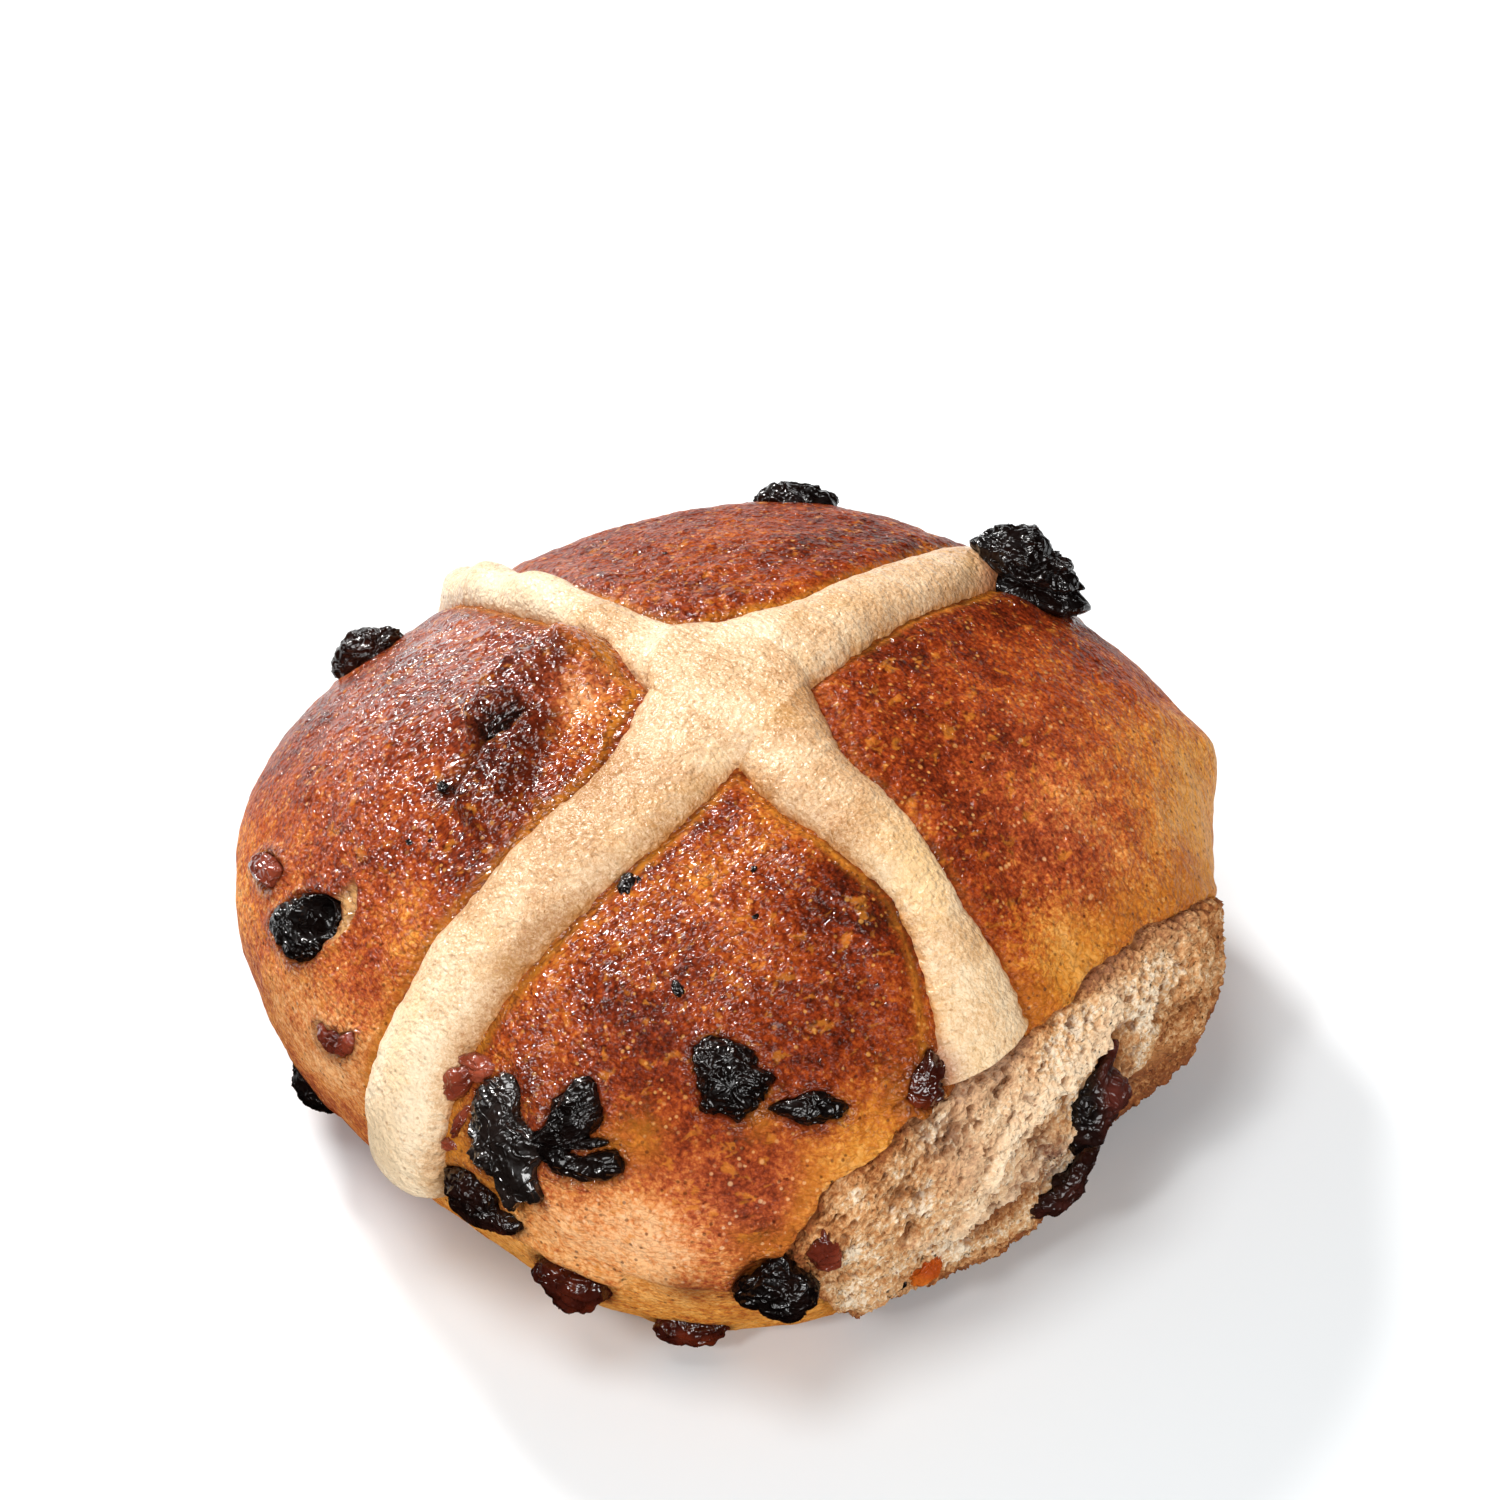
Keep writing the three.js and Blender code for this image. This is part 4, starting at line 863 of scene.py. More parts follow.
def cross():
    n = 42
    spread = np.sin((np.arange(n + 1) / n - 0.5) * math.pi * 0.96) / math.sin(math.pi * 0.48)
    ridge = lambda q: np.maximum(0, 1 - np.abs(q) ** 2.2) ** 0.6
    dirs, high, part, run, across = [], [], [], [], []

    def add(d, h, tag, t):
        start = sum(len(x) for x in dirs)
        dirs.append(d)
        high.append(h)
        part.append(np.full(len(d), tag, float))
        run.append(t)
        return np.arange(start, start + len(d))

    faces = []

    def cells(prev, row, flip):
        a, b, c, d = (row[:-1], row[1:], prev[1:], prev[:-1]) if flip else (prev[:-1], prev[1:], row[1:], row[:-1])
        faces.append(np.stack([a, b, c], 1))
        faces.append(np.stack([a, c, d], 1))

    patch = []
    for j in range(n + 1):
        u, v = (spread + 1) / 2, (spread[j] + 1) / 2
        d = unit(CORNERS["fc"][None] * ((1 - u) * (1 - v))[:, None] + CORNERS["ft"][None] * (u * (1 - v))[:, None]
                 + CORNERS["bc"][None] * ((1 - u) * v)[:, None] + CORNERS["bt"][None] * (u * v)[:, None])
        a, b = ridge(spread), ridge(spread[j])
        patch.append(add(d, 1.95 * (1 - (1 - a) * (1 - b)) / 1.95, 0, np.zeros(n + 1)))
        across.append(np.zeros(n + 1))
    P_ = np.stack(patch)
    for j in range(n):
        cells(P_[j], P_[j + 1], False)
    starts = {"front": P_[0], "back": P_[n], "torn": P_[::-1, n], "closed": P_[::-1, 0]}
    flipped = {"front": True, "back": False, "torn": False, "closed": True}
    rows_of = {"front": 225, "torn": 155, "back": 140, "closed": 170}
    tag = {"front": 1, "torn": 2, "back": 3, "closed": 4}
    for name, arm in ARMS.items():
        far, near, tall = arm_edges(name)
        m = rows_of[name]
        previous = starts[name]
        k = np.arange(1, m + 1) / m
        share = 1 - (1 - k) ** 1.12 if arm[2] else k
        t = share * (len(far) - 1)
        f, e, hgt = along(far, t), along(near, t), along(tall, t)[:, 0]
        left = (1 - share) * (len(far) - 1)
        shrink = np.sqrt(np.maximum(0.0, 1 - np.maximum(0, 1 - left / 0.55) ** 2.2)) if arm[2] else np.ones(m)
        shrink = np.maximum(shrink, 0.03)
        ph = tag[name] * 3.7
        wob1 = 0.045 * perlin(np.stack([t * 2.2 + ph, t * 0, t * 0 + 0.3], 1), 70) + 0.04 * perlin(np.stack([t * 7 + ph, t * 0, t * 0 + .3], 1), 71) + 0.025 * perlin(np.stack([t * 12 + ph, t * 0, t * 0 + .3], 1), 171)
        wob2 = 0.045 * perlin(np.stack([t * 2.2 + ph, t * 0 + 9, t * 0 + .3], 1), 72) + 0.04 * perlin(np.stack([t * 7 + ph, t * 0 + 9, t * 0 + .3], 1), 73) + 0.025 * perlin(np.stack([t * 12 + ph, t * 0 + 9, t * 0 + .3], 1), 173)
        ramp_in = smooth(0, 0.5, t)
        beads = np.zeros(m)
        if name == "closed":
            beads = 0.42 * (bump(t, 5.0, 0.42) + bump(t, 3.85, 0.40) + bump(t, 2.7, 0.42)) - 0.16
            wob1 = wob1 + 0.17 * (bump(t, 5.1, 0.45) + bump(t, 3.9, 0.4) + bump(t, 2.8, 0.4)) - 0.07
        for i in range(m):
            q = spread
            lo_, hi_ = -shrink[i] * (1 + wob1[i] * ramp_in[i]), shrink[i] * (1 + wob2[i] * ramp_in[i])
            s = 0.5 + 0.5 * (lo_ * (1 - (q + 1) / 2) + hi_ * (q + 1) / 2)
            d = arm_direction(arm, f[i, 0] * (1 - s) + e[i, 0] * s, f[i, 1] * (1 - s) + e[i, 1] * s)
            height = (hgt[i] / 1.95 + beads[i] * ramp_in[i]) * ridge(q) * (0.35 + 0.65 * shrink[i])
            row = add(d, height, tag[name], np.full(n + 1, t[i]))
            across.append(q)
            cells(previous, row, flipped[name])
            previous = row
    D = np.concatenate(dirs)
    H = np.concatenate(high)
    part, run, across = np.concatenate(part), np.concatenate(run), np.concatenate(across)
    F = np.concatenate(faces)
    r = plain_radius(D)
    P = D * r[:, None]
    body = smooth(0.0, 0.6, H)
    relief = 0.16 * fbm(P / 5.5, 2, 74) + (0.08 + 0.05 * (part == 2)) * perlin(P / 1.7, 75) + 0.045 * perlin(P / 0.75, 76) + 0.025 * perlin(P / 0.42, 77)
    top = -0.55 + 2.75 * H + relief * body
    upper = D * (r + top)[:, None]
    lower = D * (r - 0.95 - 0.25 * body)[:, None]
    count = len(D)
    # side wall along every edge that only one face uses
    edges = np.concatenate([F[:, [0, 1]], F[:, [1, 2]], F[:, [2, 0]]])
    key = edges[:, 0] * count + edges[:, 1]
    rev = edges[:, 1] * count + edges[:, 0]
    rim = edges[~np.isin(key, rev)]
    wall = np.concatenate([np.stack([rim[:, 1], rim[:, 0], count + rim[:, 0]], 1), np.stack([rim[:, 1], count + rim[:, 0], count + rim[:, 1]], 1)])
    V = np.concatenate([upper, lower])
    F2 = np.concatenate([F, F[:, ::-1] + count, wall])

    tan = 0.29 + 0.35 * fbm(P / 7, 3, 78)
    tan = tan + 0.35 * (part == 3) * smooth(0.5, 2.5, run) + 0.42 * (part == 2) * smooth(3.4, 0.8, run) + 0.02 * (part == 4) + 0.20 * (part == 0) + 0.42 * (part == 1) * smooth(0, 1, run) * smooth(4.4, 2.4, run) - 0.35 * (part == 1) * smooth(2.2, 4.5, run)
    # the long arm is browner along its side that faces the front and right, away from the key lamp: painted shade
    tan = tan + 0.55 * (part == 1) * smooth(0.35, 0.95, across) * smooth(1.6, 3.0, run)
    yellow = 0.35 * smooth(0.1, 0.6, fbm(P / 6, 2, 79)) + 0.0
    c = direction(-3, 44)
    yellow = yellow + 0.8 * np.exp(-(2 - 2 * (D @ c)) / (2 * (4.5 / 42) ** 2)) + 0.35 * (part == 2) * smooth(3.5, 5.0, run)
    stain = np.zeros(count)
    feet = raisin_footprint(P)
    for nm in ("raisin_top_right", "raisin_by_cross"):
        stain = np.maximum(stain, 0.9 * bump(np.maximum(feet[nm], 0), 0, 1.4) * (part > 0))
    edge = smooth(0.55, 0.12, H)
    A = np.stack([np.clip(tan, 0, 1), np.clip(yellow, 0, 1), np.clip(stain, 0, 1)], 1)
    B = np.stack([np.clip(edge, 0, 1), (part == 1) * smooth(3.0, 5.0, run), H], 1)
    return V, F2, {"paint": np.concatenate([A, A]), "marks": np.concatenate([B, B])}


# =========================================================== raisins

def wrinkles(p, size, seed, stretch=0.62):
    """Sharp crinkled ridges and rounded folds: height in mm."""
    q = p.copy()
    q[:, 0] *= stretch
    q = warp(q, 0.35 * size, 0.9 * size, seed)
    fold = np.abs(perlin(q / (1.0 * size), seed + 3)) ** 0.8 - 0.32
    ridge1 = (1 - np.abs(perlin(q / (0.62 * size), seed + 4))) ** 3 - 0.35
    ridge2 = (1 - np.abs(perlin(warp(q, 0.2 * size, 0.4 * size, seed + 9) / (0.33 * size), seed + 5))) ** 3 - 0.35
    return size * (0.36 * fold + 0.20 * ridge1 + 0.03 * ridge2)


def lump(name, size, seed, freq, fold=1.6, depth=1.0):
    """A wrinkled raisin in its own frame, length along x."""
    U, F = geodesic(freq)
    half = np.array(size) / 2
    k = np.ones(len(U))
    for i, (f, amount) in enumerate([(3.1, .07), (4.3, .055), (5.7, .04)]):
        a, e = seed * 2.399 + i * 2.1, math.sin(seed * 1.7 + i) * 0.9
        v = np.array([math.cos(a) * math.cos(e), math.sin(a) * math.cos(e), math.sin(e)])
        k += amount * np.sin(f * (U @ v) + seed + i)
    P = U * half * k[:, None]
    N = unit(U / half)
    h = wrinkles(P + seed * 13.1, fold, seed) * depth
    return P + N * (h - 0.12)[:, None], F, h


def flat_raisin(name, thick, seed, freq, fold=1.5, depth=1.0, dome=0.0):
    """A raisin with a traced outline, in its outline's frame."""
    U, F = geodesic(freq)
    theta = np.arctan2(U[:, 1], U[:, 0])
    c = np.hypot(U[:, 0], U[:, 1])
    R = look_up(OUTLINE_TABLE[name], theta)
    g = c ** 0.8
    P = np.stack([np.cos(theta) * R * g, np.sin(theta) * R * g, np.sign(U[:, 2]) * np.abs(U[:, 2]) ** 0.85 * thick / 2], 1)
    mean = OUTLINE_TABLE[name].mean()
    N = unit(np.stack([np.cos(theta) * c / mean, np.sin(theta) * c / mean, U[:, 2] / (thick / 2)], 1))
    # follow the round of the crust
    if name not in FACING:
        P[:, 2] -= (P[:, 0] ** 2 + P[:, 1] ** 2) / 90.0
    h = wrinkles(P + seed * 13.1, fold, seed) * depth
    if name in ("raisin_front_left_b", "raisin_tail", "raisin_tail_upper"):
        fx, fy = {"raisin_front_left_b": (-3.4, -3.0), "raisin_tail": (-7.5, -0.6), "raisin_tail_upper": (-6.0, -2.0)}[name]
        fan = np.stack([np.arctan2(P[:, 1] - fy, P[:, 0] - fx) * 9.0, np.hypot(P[:, 0] - fx, P[:, 1] - fy) * 0.22, P[:, 2] * 0.4], 1)
        if name != "raisin_front_left_b":
            fan[:, 0] *= 1.3
        h = 0.35 * h + 0.42 * ((1 - np.abs(perlin(fan, 66))) ** 2.5 - 0.4) + 0.14 * ((1 - np.abs(perlin(fan * 2.1, 67))) ** 2 - 0.4)
    if name == "raisin_front_left_a":
        # a smooth band crosses it, with drops of syrup below
        along_band = (P[:, 0] + 2.6) * 0.84 + (P[:, 1] - 2.2) * -0.55
        off = (P[:, 0] + 2.6) * 0.55 + (P[:, 1] - 2.2) * 0.84
        calm = np.exp(-(off / 1.25) ** 4) * smooth(-1, 1, along_band)
        h = h * (1 - 0.85 * calm) + 0.12 * calm
        for x, y, r in [(-2.2, -.6, .5), (-1.3, -1.0, .55), (-.3, -1.6, .45), (-2.0, -2.3, .45), (.1, -2.6, .55), (-1.0, -2.6, .35), (1.4, -2.5, .4)]:
            h += 0.42 * np.exp(-((P[:, 0] - x) ** 2 + (P[:, 1] - y) ** 2) / (0.6 * r * r)) * (U[:, 2] > 0)
    if name == "raisin_top_right":
        # a smooth rim folds along its lower edge, under a deep crease, and a second fold crosses its middle
        x, y = P[:, 0], P[:, 1]
        line = interp([(-4.6, -1.4), (-2.0, -2.2), (0.5, -3.2), (3.0, -3.9), (5.4, -3.4)], x)
        h = h * (1 - 0.8 * bump(y, line, 0.7)) + 0.75 * bump(y, line, 0.55) - 0.85 * bump(y, line + 1.05, 0.42)
        line = interp([(-2.6, 0.8), (-1.2, -0.9), (0.4, -1.3), (2.2, -0.3), (4.0, 0.2)], x)
        h += 0.5 * bump(y, line, 0.34) * smooth(-2.8, -2.0, x) * smooth(4.2, 3.2, x) - 0.5 * bump(y, line + 0.75, 0.4) * smooth(-2.0, -1.0, x) * smooth(3.4, 2.4, x)
    if name == "raisin_left_crater":
        hollow = np.exp(-(((P[:, 0] - 0.9) / 1.7) ** 2 + ((P[:, 1] - 1.9) / 1.7) ** 2) ** 2)
        P[:, 2] -= 3.6 * hollow * (U[:, 2] > 0) * np.minimum(1, U[:, 2] * 2.5)
        h = h * (1 - 0.6 * hollow)
    return P + N * (h - 0.05)[:, None], F, h


def placed(P, frame_, lift, roll=0.0):
    c, n, lx, ly = frame_
    r = math.radians(roll)
    x = lx * math.cos(r) + ly * math.sin(r)
    y = np.cross(n, x)
    return c + lift * n + P[:, :1] * x + P[:, 1:2] * y + P[:, 2:] * n


def raisin_paint(P, h, red, seed, reddish=0.0):
    """Colour mask: how red and clear the skin is, how deep the crease is, and a random patch named worn; the raisin
    materials read only the first.
    """
    r = np.clip(red + 0.35 * fbm(P / 3.0, 2, seed + 7) + reddish, 0, 1)
    return {"paint": np.stack([r, np.clip(0.5 + h * 1.4, 0, 1), np.clip(0.5 + fbm(P / 2.0, 2, seed + 8), 0, 1)], 1)}


# =========================================================== materials

class Maker:
    """A short way of wiring shader nodes."""

    def __init__(self, name):
        self.m = bpy.data.materials.new(name)
        self.m.use_nodes = True
        self.t = self.m.node_tree
        self.t.nodes.clear()
        self.out = self.t.nodes.new("ShaderNodeOutputMaterial")
        self.b = self.t.nodes.new("ShaderNodeBsdfPrincipled")
        self.t.links.new(self.b.outputs[0], self.out.inputs[0])
        coord = self.t.nodes.new("ShaderNodeTexCoord")
        scale = self.t.nodes.new("ShaderNodeVectorMath")
        scale.operation = "SCALE"
        scale.inputs["Scale"].default_value = 1000.0
        self.t.links.new(coord.outputs["Object"], scale.inputs[0])
        self.p = scale.outputs[0]

    def link(self, a, socket):
        if isinstance(a, (int, float)):
            socket.default_value = a
        elif isinstance(a, tuple):
            socket.default_value = a if len(a) == len(socket.default_value) else (*a, 1.0)
        else:
            self.t.links.new(a, socket)

    def attribute(self, name):
        n = self.t.nodes.new("ShaderNodeAttribute")
        n.attribute_name = name
        s = self.t.nodes.new("ShaderNodeSeparateColor")
        self.t.links.new(n.outputs["Color"], s.inputs[0])
        return s.outputs[0], s.outputs[1], s.outputs[2]

    def math(self, op, a, b=0.0, c=None, clamp=False):
        n = self.t.nodes.new("ShaderNodeMath")
        n.operation = op
        n.use_clamp = clamp
        self.link(a, n.inputs[0])
        self.link(b, n.inputs[1])
        if c is not None:
            self.link(c, n.inputs[2])
        return n.outputs[0]

    def add(self, a, b):
        return self.math("ADD", a, b)

    def mul(self, a, b, clamp=False):
        return self.math("MULTIPLY", a, b, clamp=clamp)

    def step(self, v, lo, hi):
        n = self.t.nodes.new("ShaderNodeMapRange")
        n.interpolation_type = "SMOOTHSTEP"
        self.link(v, n.inputs["Value"])
        a, b, x, y = (lo, hi, 0.0, 1.0) if lo < hi else (hi, lo, 1.0, 0.0)
        n.inputs["From Min"].default_value, n.inputs["From Max"].default_value = a, b
        n.inputs["To Min"].default_value, n.inputs["To Max"].default_value = x, y
        return n.outputs["Result"]

    def remap(self, v, a, b, x, y):
        n = self.t.nodes.new("ShaderNodeMapRange")
        self.link(v, n.inputs["Value"])
        for key, value in (("From Min", a), ("From Max", b), ("To Min", x), ("To Max", y)):
            n.inputs[key].default_value = value
        return n.outputs["Result"]

    def noise(self, size, detail=2.0, rough=0.5, shift=0.0, distortion=0.0, stretch=None, along=None):
        n = self.t.nodes.new("ShaderNodeTexNoise")
        n.inputs["Scale"].default_value = 1.0 / size
        n.inputs["Detail"].default_value = detail
        n.inputs["Roughness"].default_value = rough
        n.inputs["Distortion"].default_value = distortion
        m = self.t.nodes.new("ShaderNodeMapping")
        m.inputs["Location"].default_value = (shift, shift * 1.7, -shift)
        if stretch:
            m.inputs["Scale"].default_value = stretch
        if along:
            # drawn out in one direction: its own axes first, then the scale
            x = Vector(along[0]).normalized()
            y = x.orthogonal().normalized()
            m.vector_type = "TEXTURE"
            m.inputs["Rotation"].default_value = Matrix((x, y, x.cross(y))).transposed().to_euler()
            m.inputs["Scale"].default_value = (along[1], 1.0, 1.0)
        self.t.links.new(self.p, m.inputs[0])
        self.t.links.new(m.outputs[0], n.inputs["Vector"])
        return n.outputs["Fac"]

    def cells(self, size, feature="F1", shift=0.0, output="Distance", randomness=1.0):
        n = self.t.nodes.new("ShaderNodeTexVoronoi")
        n.feature = feature
        n.inputs["Scale"].default_value = 1.0 / size
        n.inputs["Randomness"].default_value = randomness
        m = self.t.nodes.new("ShaderNodeMapping")
        m.inputs["Location"].default_value = (shift, shift * 1.3, -shift)
        self.t.links.new(self.p, m.inputs[0])
        self.t.links.new(m.outputs[0], n.inputs["Vector"])
        return n.outputs["Distance"], (n.outputs["Color"] if feature == "F1" else None)

    def ramp(self, v, stops):
        n = self.t.nodes.new("ShaderNodeValToRGB")
        e = n.color_ramp.elements
        while len(e) > 1:
            e.remove(e[-1])
        e[0].position, e[0].color = stops[0][0], (*stops[0][1], 1)
        for pos, col in stops[1:]:
            x = e.new(pos)
            x.color = (*col, 1)
        self.link(v, n.inputs[0])
        return n.outputs[0]

    def mix(self, f, a, b, mode="MIX"):
        n = self.t.nodes.new("ShaderNodeMix")
        n.data_type = "RGBA"
        n.blend_type = mode
        self.link(f, n.inputs["Factor"])
        self.link(a, n.inputs[6])
        self.link(b, n.inputs[7])
        return n.outputs[2]

    def bumped(self, height, distance, strength=1.0, normal=None):
        n = self.t.nodes.new("ShaderNodeBump")
        n.inputs["Distance"].default_value = distance * MM
        n.inputs["Strength"].default_value = strength
        self.link(height, n.inputs["Height"])
        if normal is not None:
            self.t.links.new(normal, n.inputs["Normal"])
        return n.outputs[0]


def rgb(code):
    """A hex colour as linear numbers."""
    v = [int(code[i:i + 2], 16) / 255 for i in (0, 2, 4)]
    return tuple(c / 12.92 if c <= 0.04045 else ((c + 0.055) / 1.055) ** 2.4 for c in v)


def crust_material():
    k = Maker("glazed_crust")
    bake, salmon_and_sheen, gloss = k.attribute("paint")
    char, golden, stain = k.attribute("marks")
    skin, wall, low = k.attribute("more")
    blotch = k.noise(5.0, 3.0, 0.55, 3.1)
    mottle = k.noise(1.5, 3.0, 0.6, 8.3)
    grain = k.noise(0.42, 2.0, 0.6, 1.9)
    swell = k.noise(1.25, 1.0, 0.4, 14.0, 0.3)
    # the fine folds run level round the sides and slantwise over the top of the left half
    lay, _, _ = k.attribute("lay")
    level = k.mul(lay, -1.0)
    level = k.add(level, 1.0)
    slant = (0.35, 0.75, 0.56)
    folds = k.math("ABSOLUTE", k.add(k.noise(0.95, 0.8, 0.5, 6.0, 0.6, (0.75, 0.75, 1.5)), -0.5))
    folds2 = k.math("ABSOLUTE", k.add(k.noise(0.80, 0.8, 0.5, 16.0, 0.4, along=(slant, 2.6)), -0.5))
    folds = k.add(k.mul(folds, level), k.mul(folds2, lay))
    beads = k.noise(0.43, 0.6, 0.4, 9.0, 0.4, (0.75, 0.75, 1.25))
    beads = k.add(k.mul(beads, level), k.mul(k.noise(0.44, 0.6, 0.4, 19.0, 0.2, along=(slant, 2.4)), lay))
    plate, _ = k.cells(0.62, "DISTANCE_TO_EDGE", 4.0)
    b = k.add(bake, k.add(k.remap(blotch, 0.3, 0.7, -0.09, 0.09), k.add(k.remap(mottle, 0.3, 0.7, -0.12, 0.12), k.remap(grain, 0.3, 0.7, 0.17, -0.17))))
    b = k.add(b, k.mul(k.step(plate, 0.16, 0.0), 0.07))
    base = k.ramp(b, [(0.0, rgb("E4A250")), (0.18, rgb("D48A34")), (0.32, rgb("BE6C26")), (0.46, rgb("A54E1B")),
                      (0.60, rgb("8C3612")), (0.74, rgb("6E250B")), (0.90, rgb("4E1706")), (1.0, rgb("360F05"))])
    salmon = k.ramp(b, [(0.0, rgb("E9B384")), (0.30, rgb("D0814A")), (0.50, rgb("AE5430")), (0.70, rgb("853820")), (1.0, rgb("441A12"))])
    # the salmon hue: partly the crust's own tone, partly painted highlight for the glaze's sheen by the hump
    col = k.mix(salmon_and_sheen, base, salmon)
    # golden line along the cross and above the tear
    gold = k.mul(golden, k.remap(mottle, 0.25, 0.7, 0.4, 1.3), clamp=True)
    col = k.mix(gold, col, rgb("BC7423"))
    # golden flecks, some drawn out, and small round ones
    fleck = k.noise(1.3, 2.0, 0.6, 21.0, 0.5, (1.0, 0.7, 1.3))
    col = k.mix(k.mul(k.step(fleck, 0.57, 0.70), 0.50), col, rgb("C87A28"))
    d1, c1 = k.cells(1.1, shift=2.0)
    sep = k.t.nodes.new("ShaderNodeSeparateColor")
    k.t.links.new(c1, sep.inputs[0])
    dots = k.mul(k.step(d1, 0.27, 0.12), k.step(sep.outputs[0], 0.70, 0.92))
    d2, c2 = k.cells(0.55, shift=5.0)
    sep2 = k.t.nodes.new("ShaderNodeSeparateColor")
    k.t.links.new(c2, sep2.inputs[0])
    dots2 = k.mul(k.step(d2, 0.40, 0.18), k.step(sep2.outputs[1], 0.80, 0.95))
    dots = k.mul(k.math("MAXIMUM", dots, dots2), k.remap(char, 0.0, 0.25, 1.0, 0.0), clamp=True)
    col = k.mix(k.mul(dots, 0.62), col, k.mix(salmon_and_sheen, rgb("DA9A4C"), rgb("F2C8A2")))
    # fine brown pits
    d3, c3 = k.cells(0.8, shift=11.0)
    sep3 = k.t.nodes.new("ShaderNodeSeparateColor")
    k.t.links.new(c3, sep3.inputs[0])
    pits = k.mul(k.step(d3, 0.28, 0.14), k.step(sep3.outputs[2], 0.50, 0.75))
    col = k.mix(k.mul(pits, 0.65), col, rgb("3A0F05"))
    col = k.mix(k.mul(skin, 0.85), col, rgb("C99A62"))
    # red-brown stains round the fruit, and painted shade on the hump's flank, in the tear's crack, along the cross's
    # edge and in the puckers' creases
    col = k.mix(k.mul(stain, 0.72), col, rgb("521808"))
    # burnt places, with a little painted shade on the hump's flank
    burnt = k.mul(char, k.remap(mottle, 0.3, 0.6, 0.6, 1.2), clamp=True)
    col = k.mix(burnt, col, rgb("1A0A06"))
    col = k.mix(wall, col, rgb("C48C50"))
    # painted shade in the creases of the fine folds, stronger where the glaze is glossy
    crease = k.mul(k.step(folds, 0.045, 0.0), k.remap(gloss, 0, 0.5, 0.18, 0.62))
    col = k.mix(crease, col, rgb("471305"))
    k.link(col, k.b.inputs["Base Color"])
    rough = k.remap(gloss, 0, 1, 0.50, 0.34)
    rough = k.add(rough, k.remap(mottle, 0.3, 0.7, -0.03, 0.07))
    k.link(k.math("MAXIMUM", rough, k.mul(wall, 0.8)), k.b.inputs["Roughness"])
    k.b.inputs["Specular IOR Level"].default_value = 0.04
    n1 = k.bumped(swell, 0.36, 1.0)
    n2 = k.bumped(k.add(k.mul(folds, 1.2), k.mul(beads, 0.8)), 0.30, 1.0, n1)
    k.t.links.new(n2, k.b.inputs["Normal"])
    # the glaze is a clear coat over the crust, thinner low down and where it has worn off
    k.link(k.mul(gloss, k.remap(mottle, 0.3, 0.6, 0.6, 1.05), clamp=True), k.b.inputs["Coat Weight"])
    k.b.inputs["Coat Roughness"].default_value = 0.065
    k.b.inputs["Coat IOR"].default_value = 1.58
    c1 = k.bumped(swell, 0.45, 1.0)
    c2 = k.bumped(k.add(k.mul(folds, 1.4), k.mul(beads, 1.0)), 0.36, 1.0, c1)
    k.t.links.new(c2, k.b.inputs["Coat Normal"])
    return k.m


def crumb_material():
    k = Maker("torn_crumb")
    tint, pale, low = k.attribute("paint")
    stain, skin, pit = k.attribute("marks")
    soft = k.noise(2.2, 3.0, 0.6, 4.0)
    fine = k.noise(0.5, 3.0, 0.65, 7.0)
    fibre = k.noise(0.55, 1.5, 0.55, 31.0, 0.9, (1.3, 0.55, 0.7))
    v = k.add(k.add(k.add(tint, 0.08), k.remap(fibre, 0.3, 0.7, 0.16, -0.16)), k.add(k.remap(soft, 0.3, 0.7, -0.17, 0.17), k.remap(fine, 0.3, 0.7, -0.32, 0.32)))
    col = k.ramp(v, [(0.0, rgb("F4DFC2")), (0.30, rgb("DBB080")), (0.55, rgb("C78F5C")), (0.8, rgb("A96C3A")), (1.0, rgb("884C26"))])
    # paler on the ledges: painted highlight, with two paler patches
    col = k.mix(k.mul(pale, 0.7), col, rgb("EFD4B2"))
    # painted shade in the crumb's low places and pores
    deep = k.mul(k.step(low, 0.40, 0.95), 0.72)
    col = k.mix(deep, col, rgb("865028"))
    # painted shade in the small holes, open pores and torn hollows
    col = k.mix(k.mul(pit, 0.7), col, rgb("6E3C1C"))
    d, c = k.cells(0.75, shift=3.0)
    sep = k.t.nodes.new("ShaderNodeSeparateColor")
    k.t.links.new(c, sep.inputs[0])
    flecks = k.mul(k.step(d, 0.26, 0.12), k.step(sep.outputs[0], 0.60, 0.80))
    col = k.mix(k.mul(flecks, 0.7), col, rgb("8A4A22"))
    col = k.mix(k.mul(stain, k.remap(fine, 0.3, 0.7, 0.45, 1.0)), col, rgb("5C2A20"))
    col = k.mix(k.mul(skin, 0.8), col, rgb("C2834A"))
    k.link(col, k.b.inputs["Base Color"])
    k.link(k.remap(skin, 0, 1, 0.85, 0.5), k.b.inputs["Roughness"])
    k.b.inputs["Specular IOR Level"].default_value = 0.2
    n1 = k.bumped(k.noise(0.80, 1.0, 0.5, 2.0), 0.34, 1.0)
    n2 = k.bumped(k.noise(0.36, 1.0, 0.5, 12.0, 0.0, (1.15, 0.55, 0.7)), 0.42, 1.0, n1)
    k.t.links.new(n2, k.b.inputs["Normal"])
    return k.m


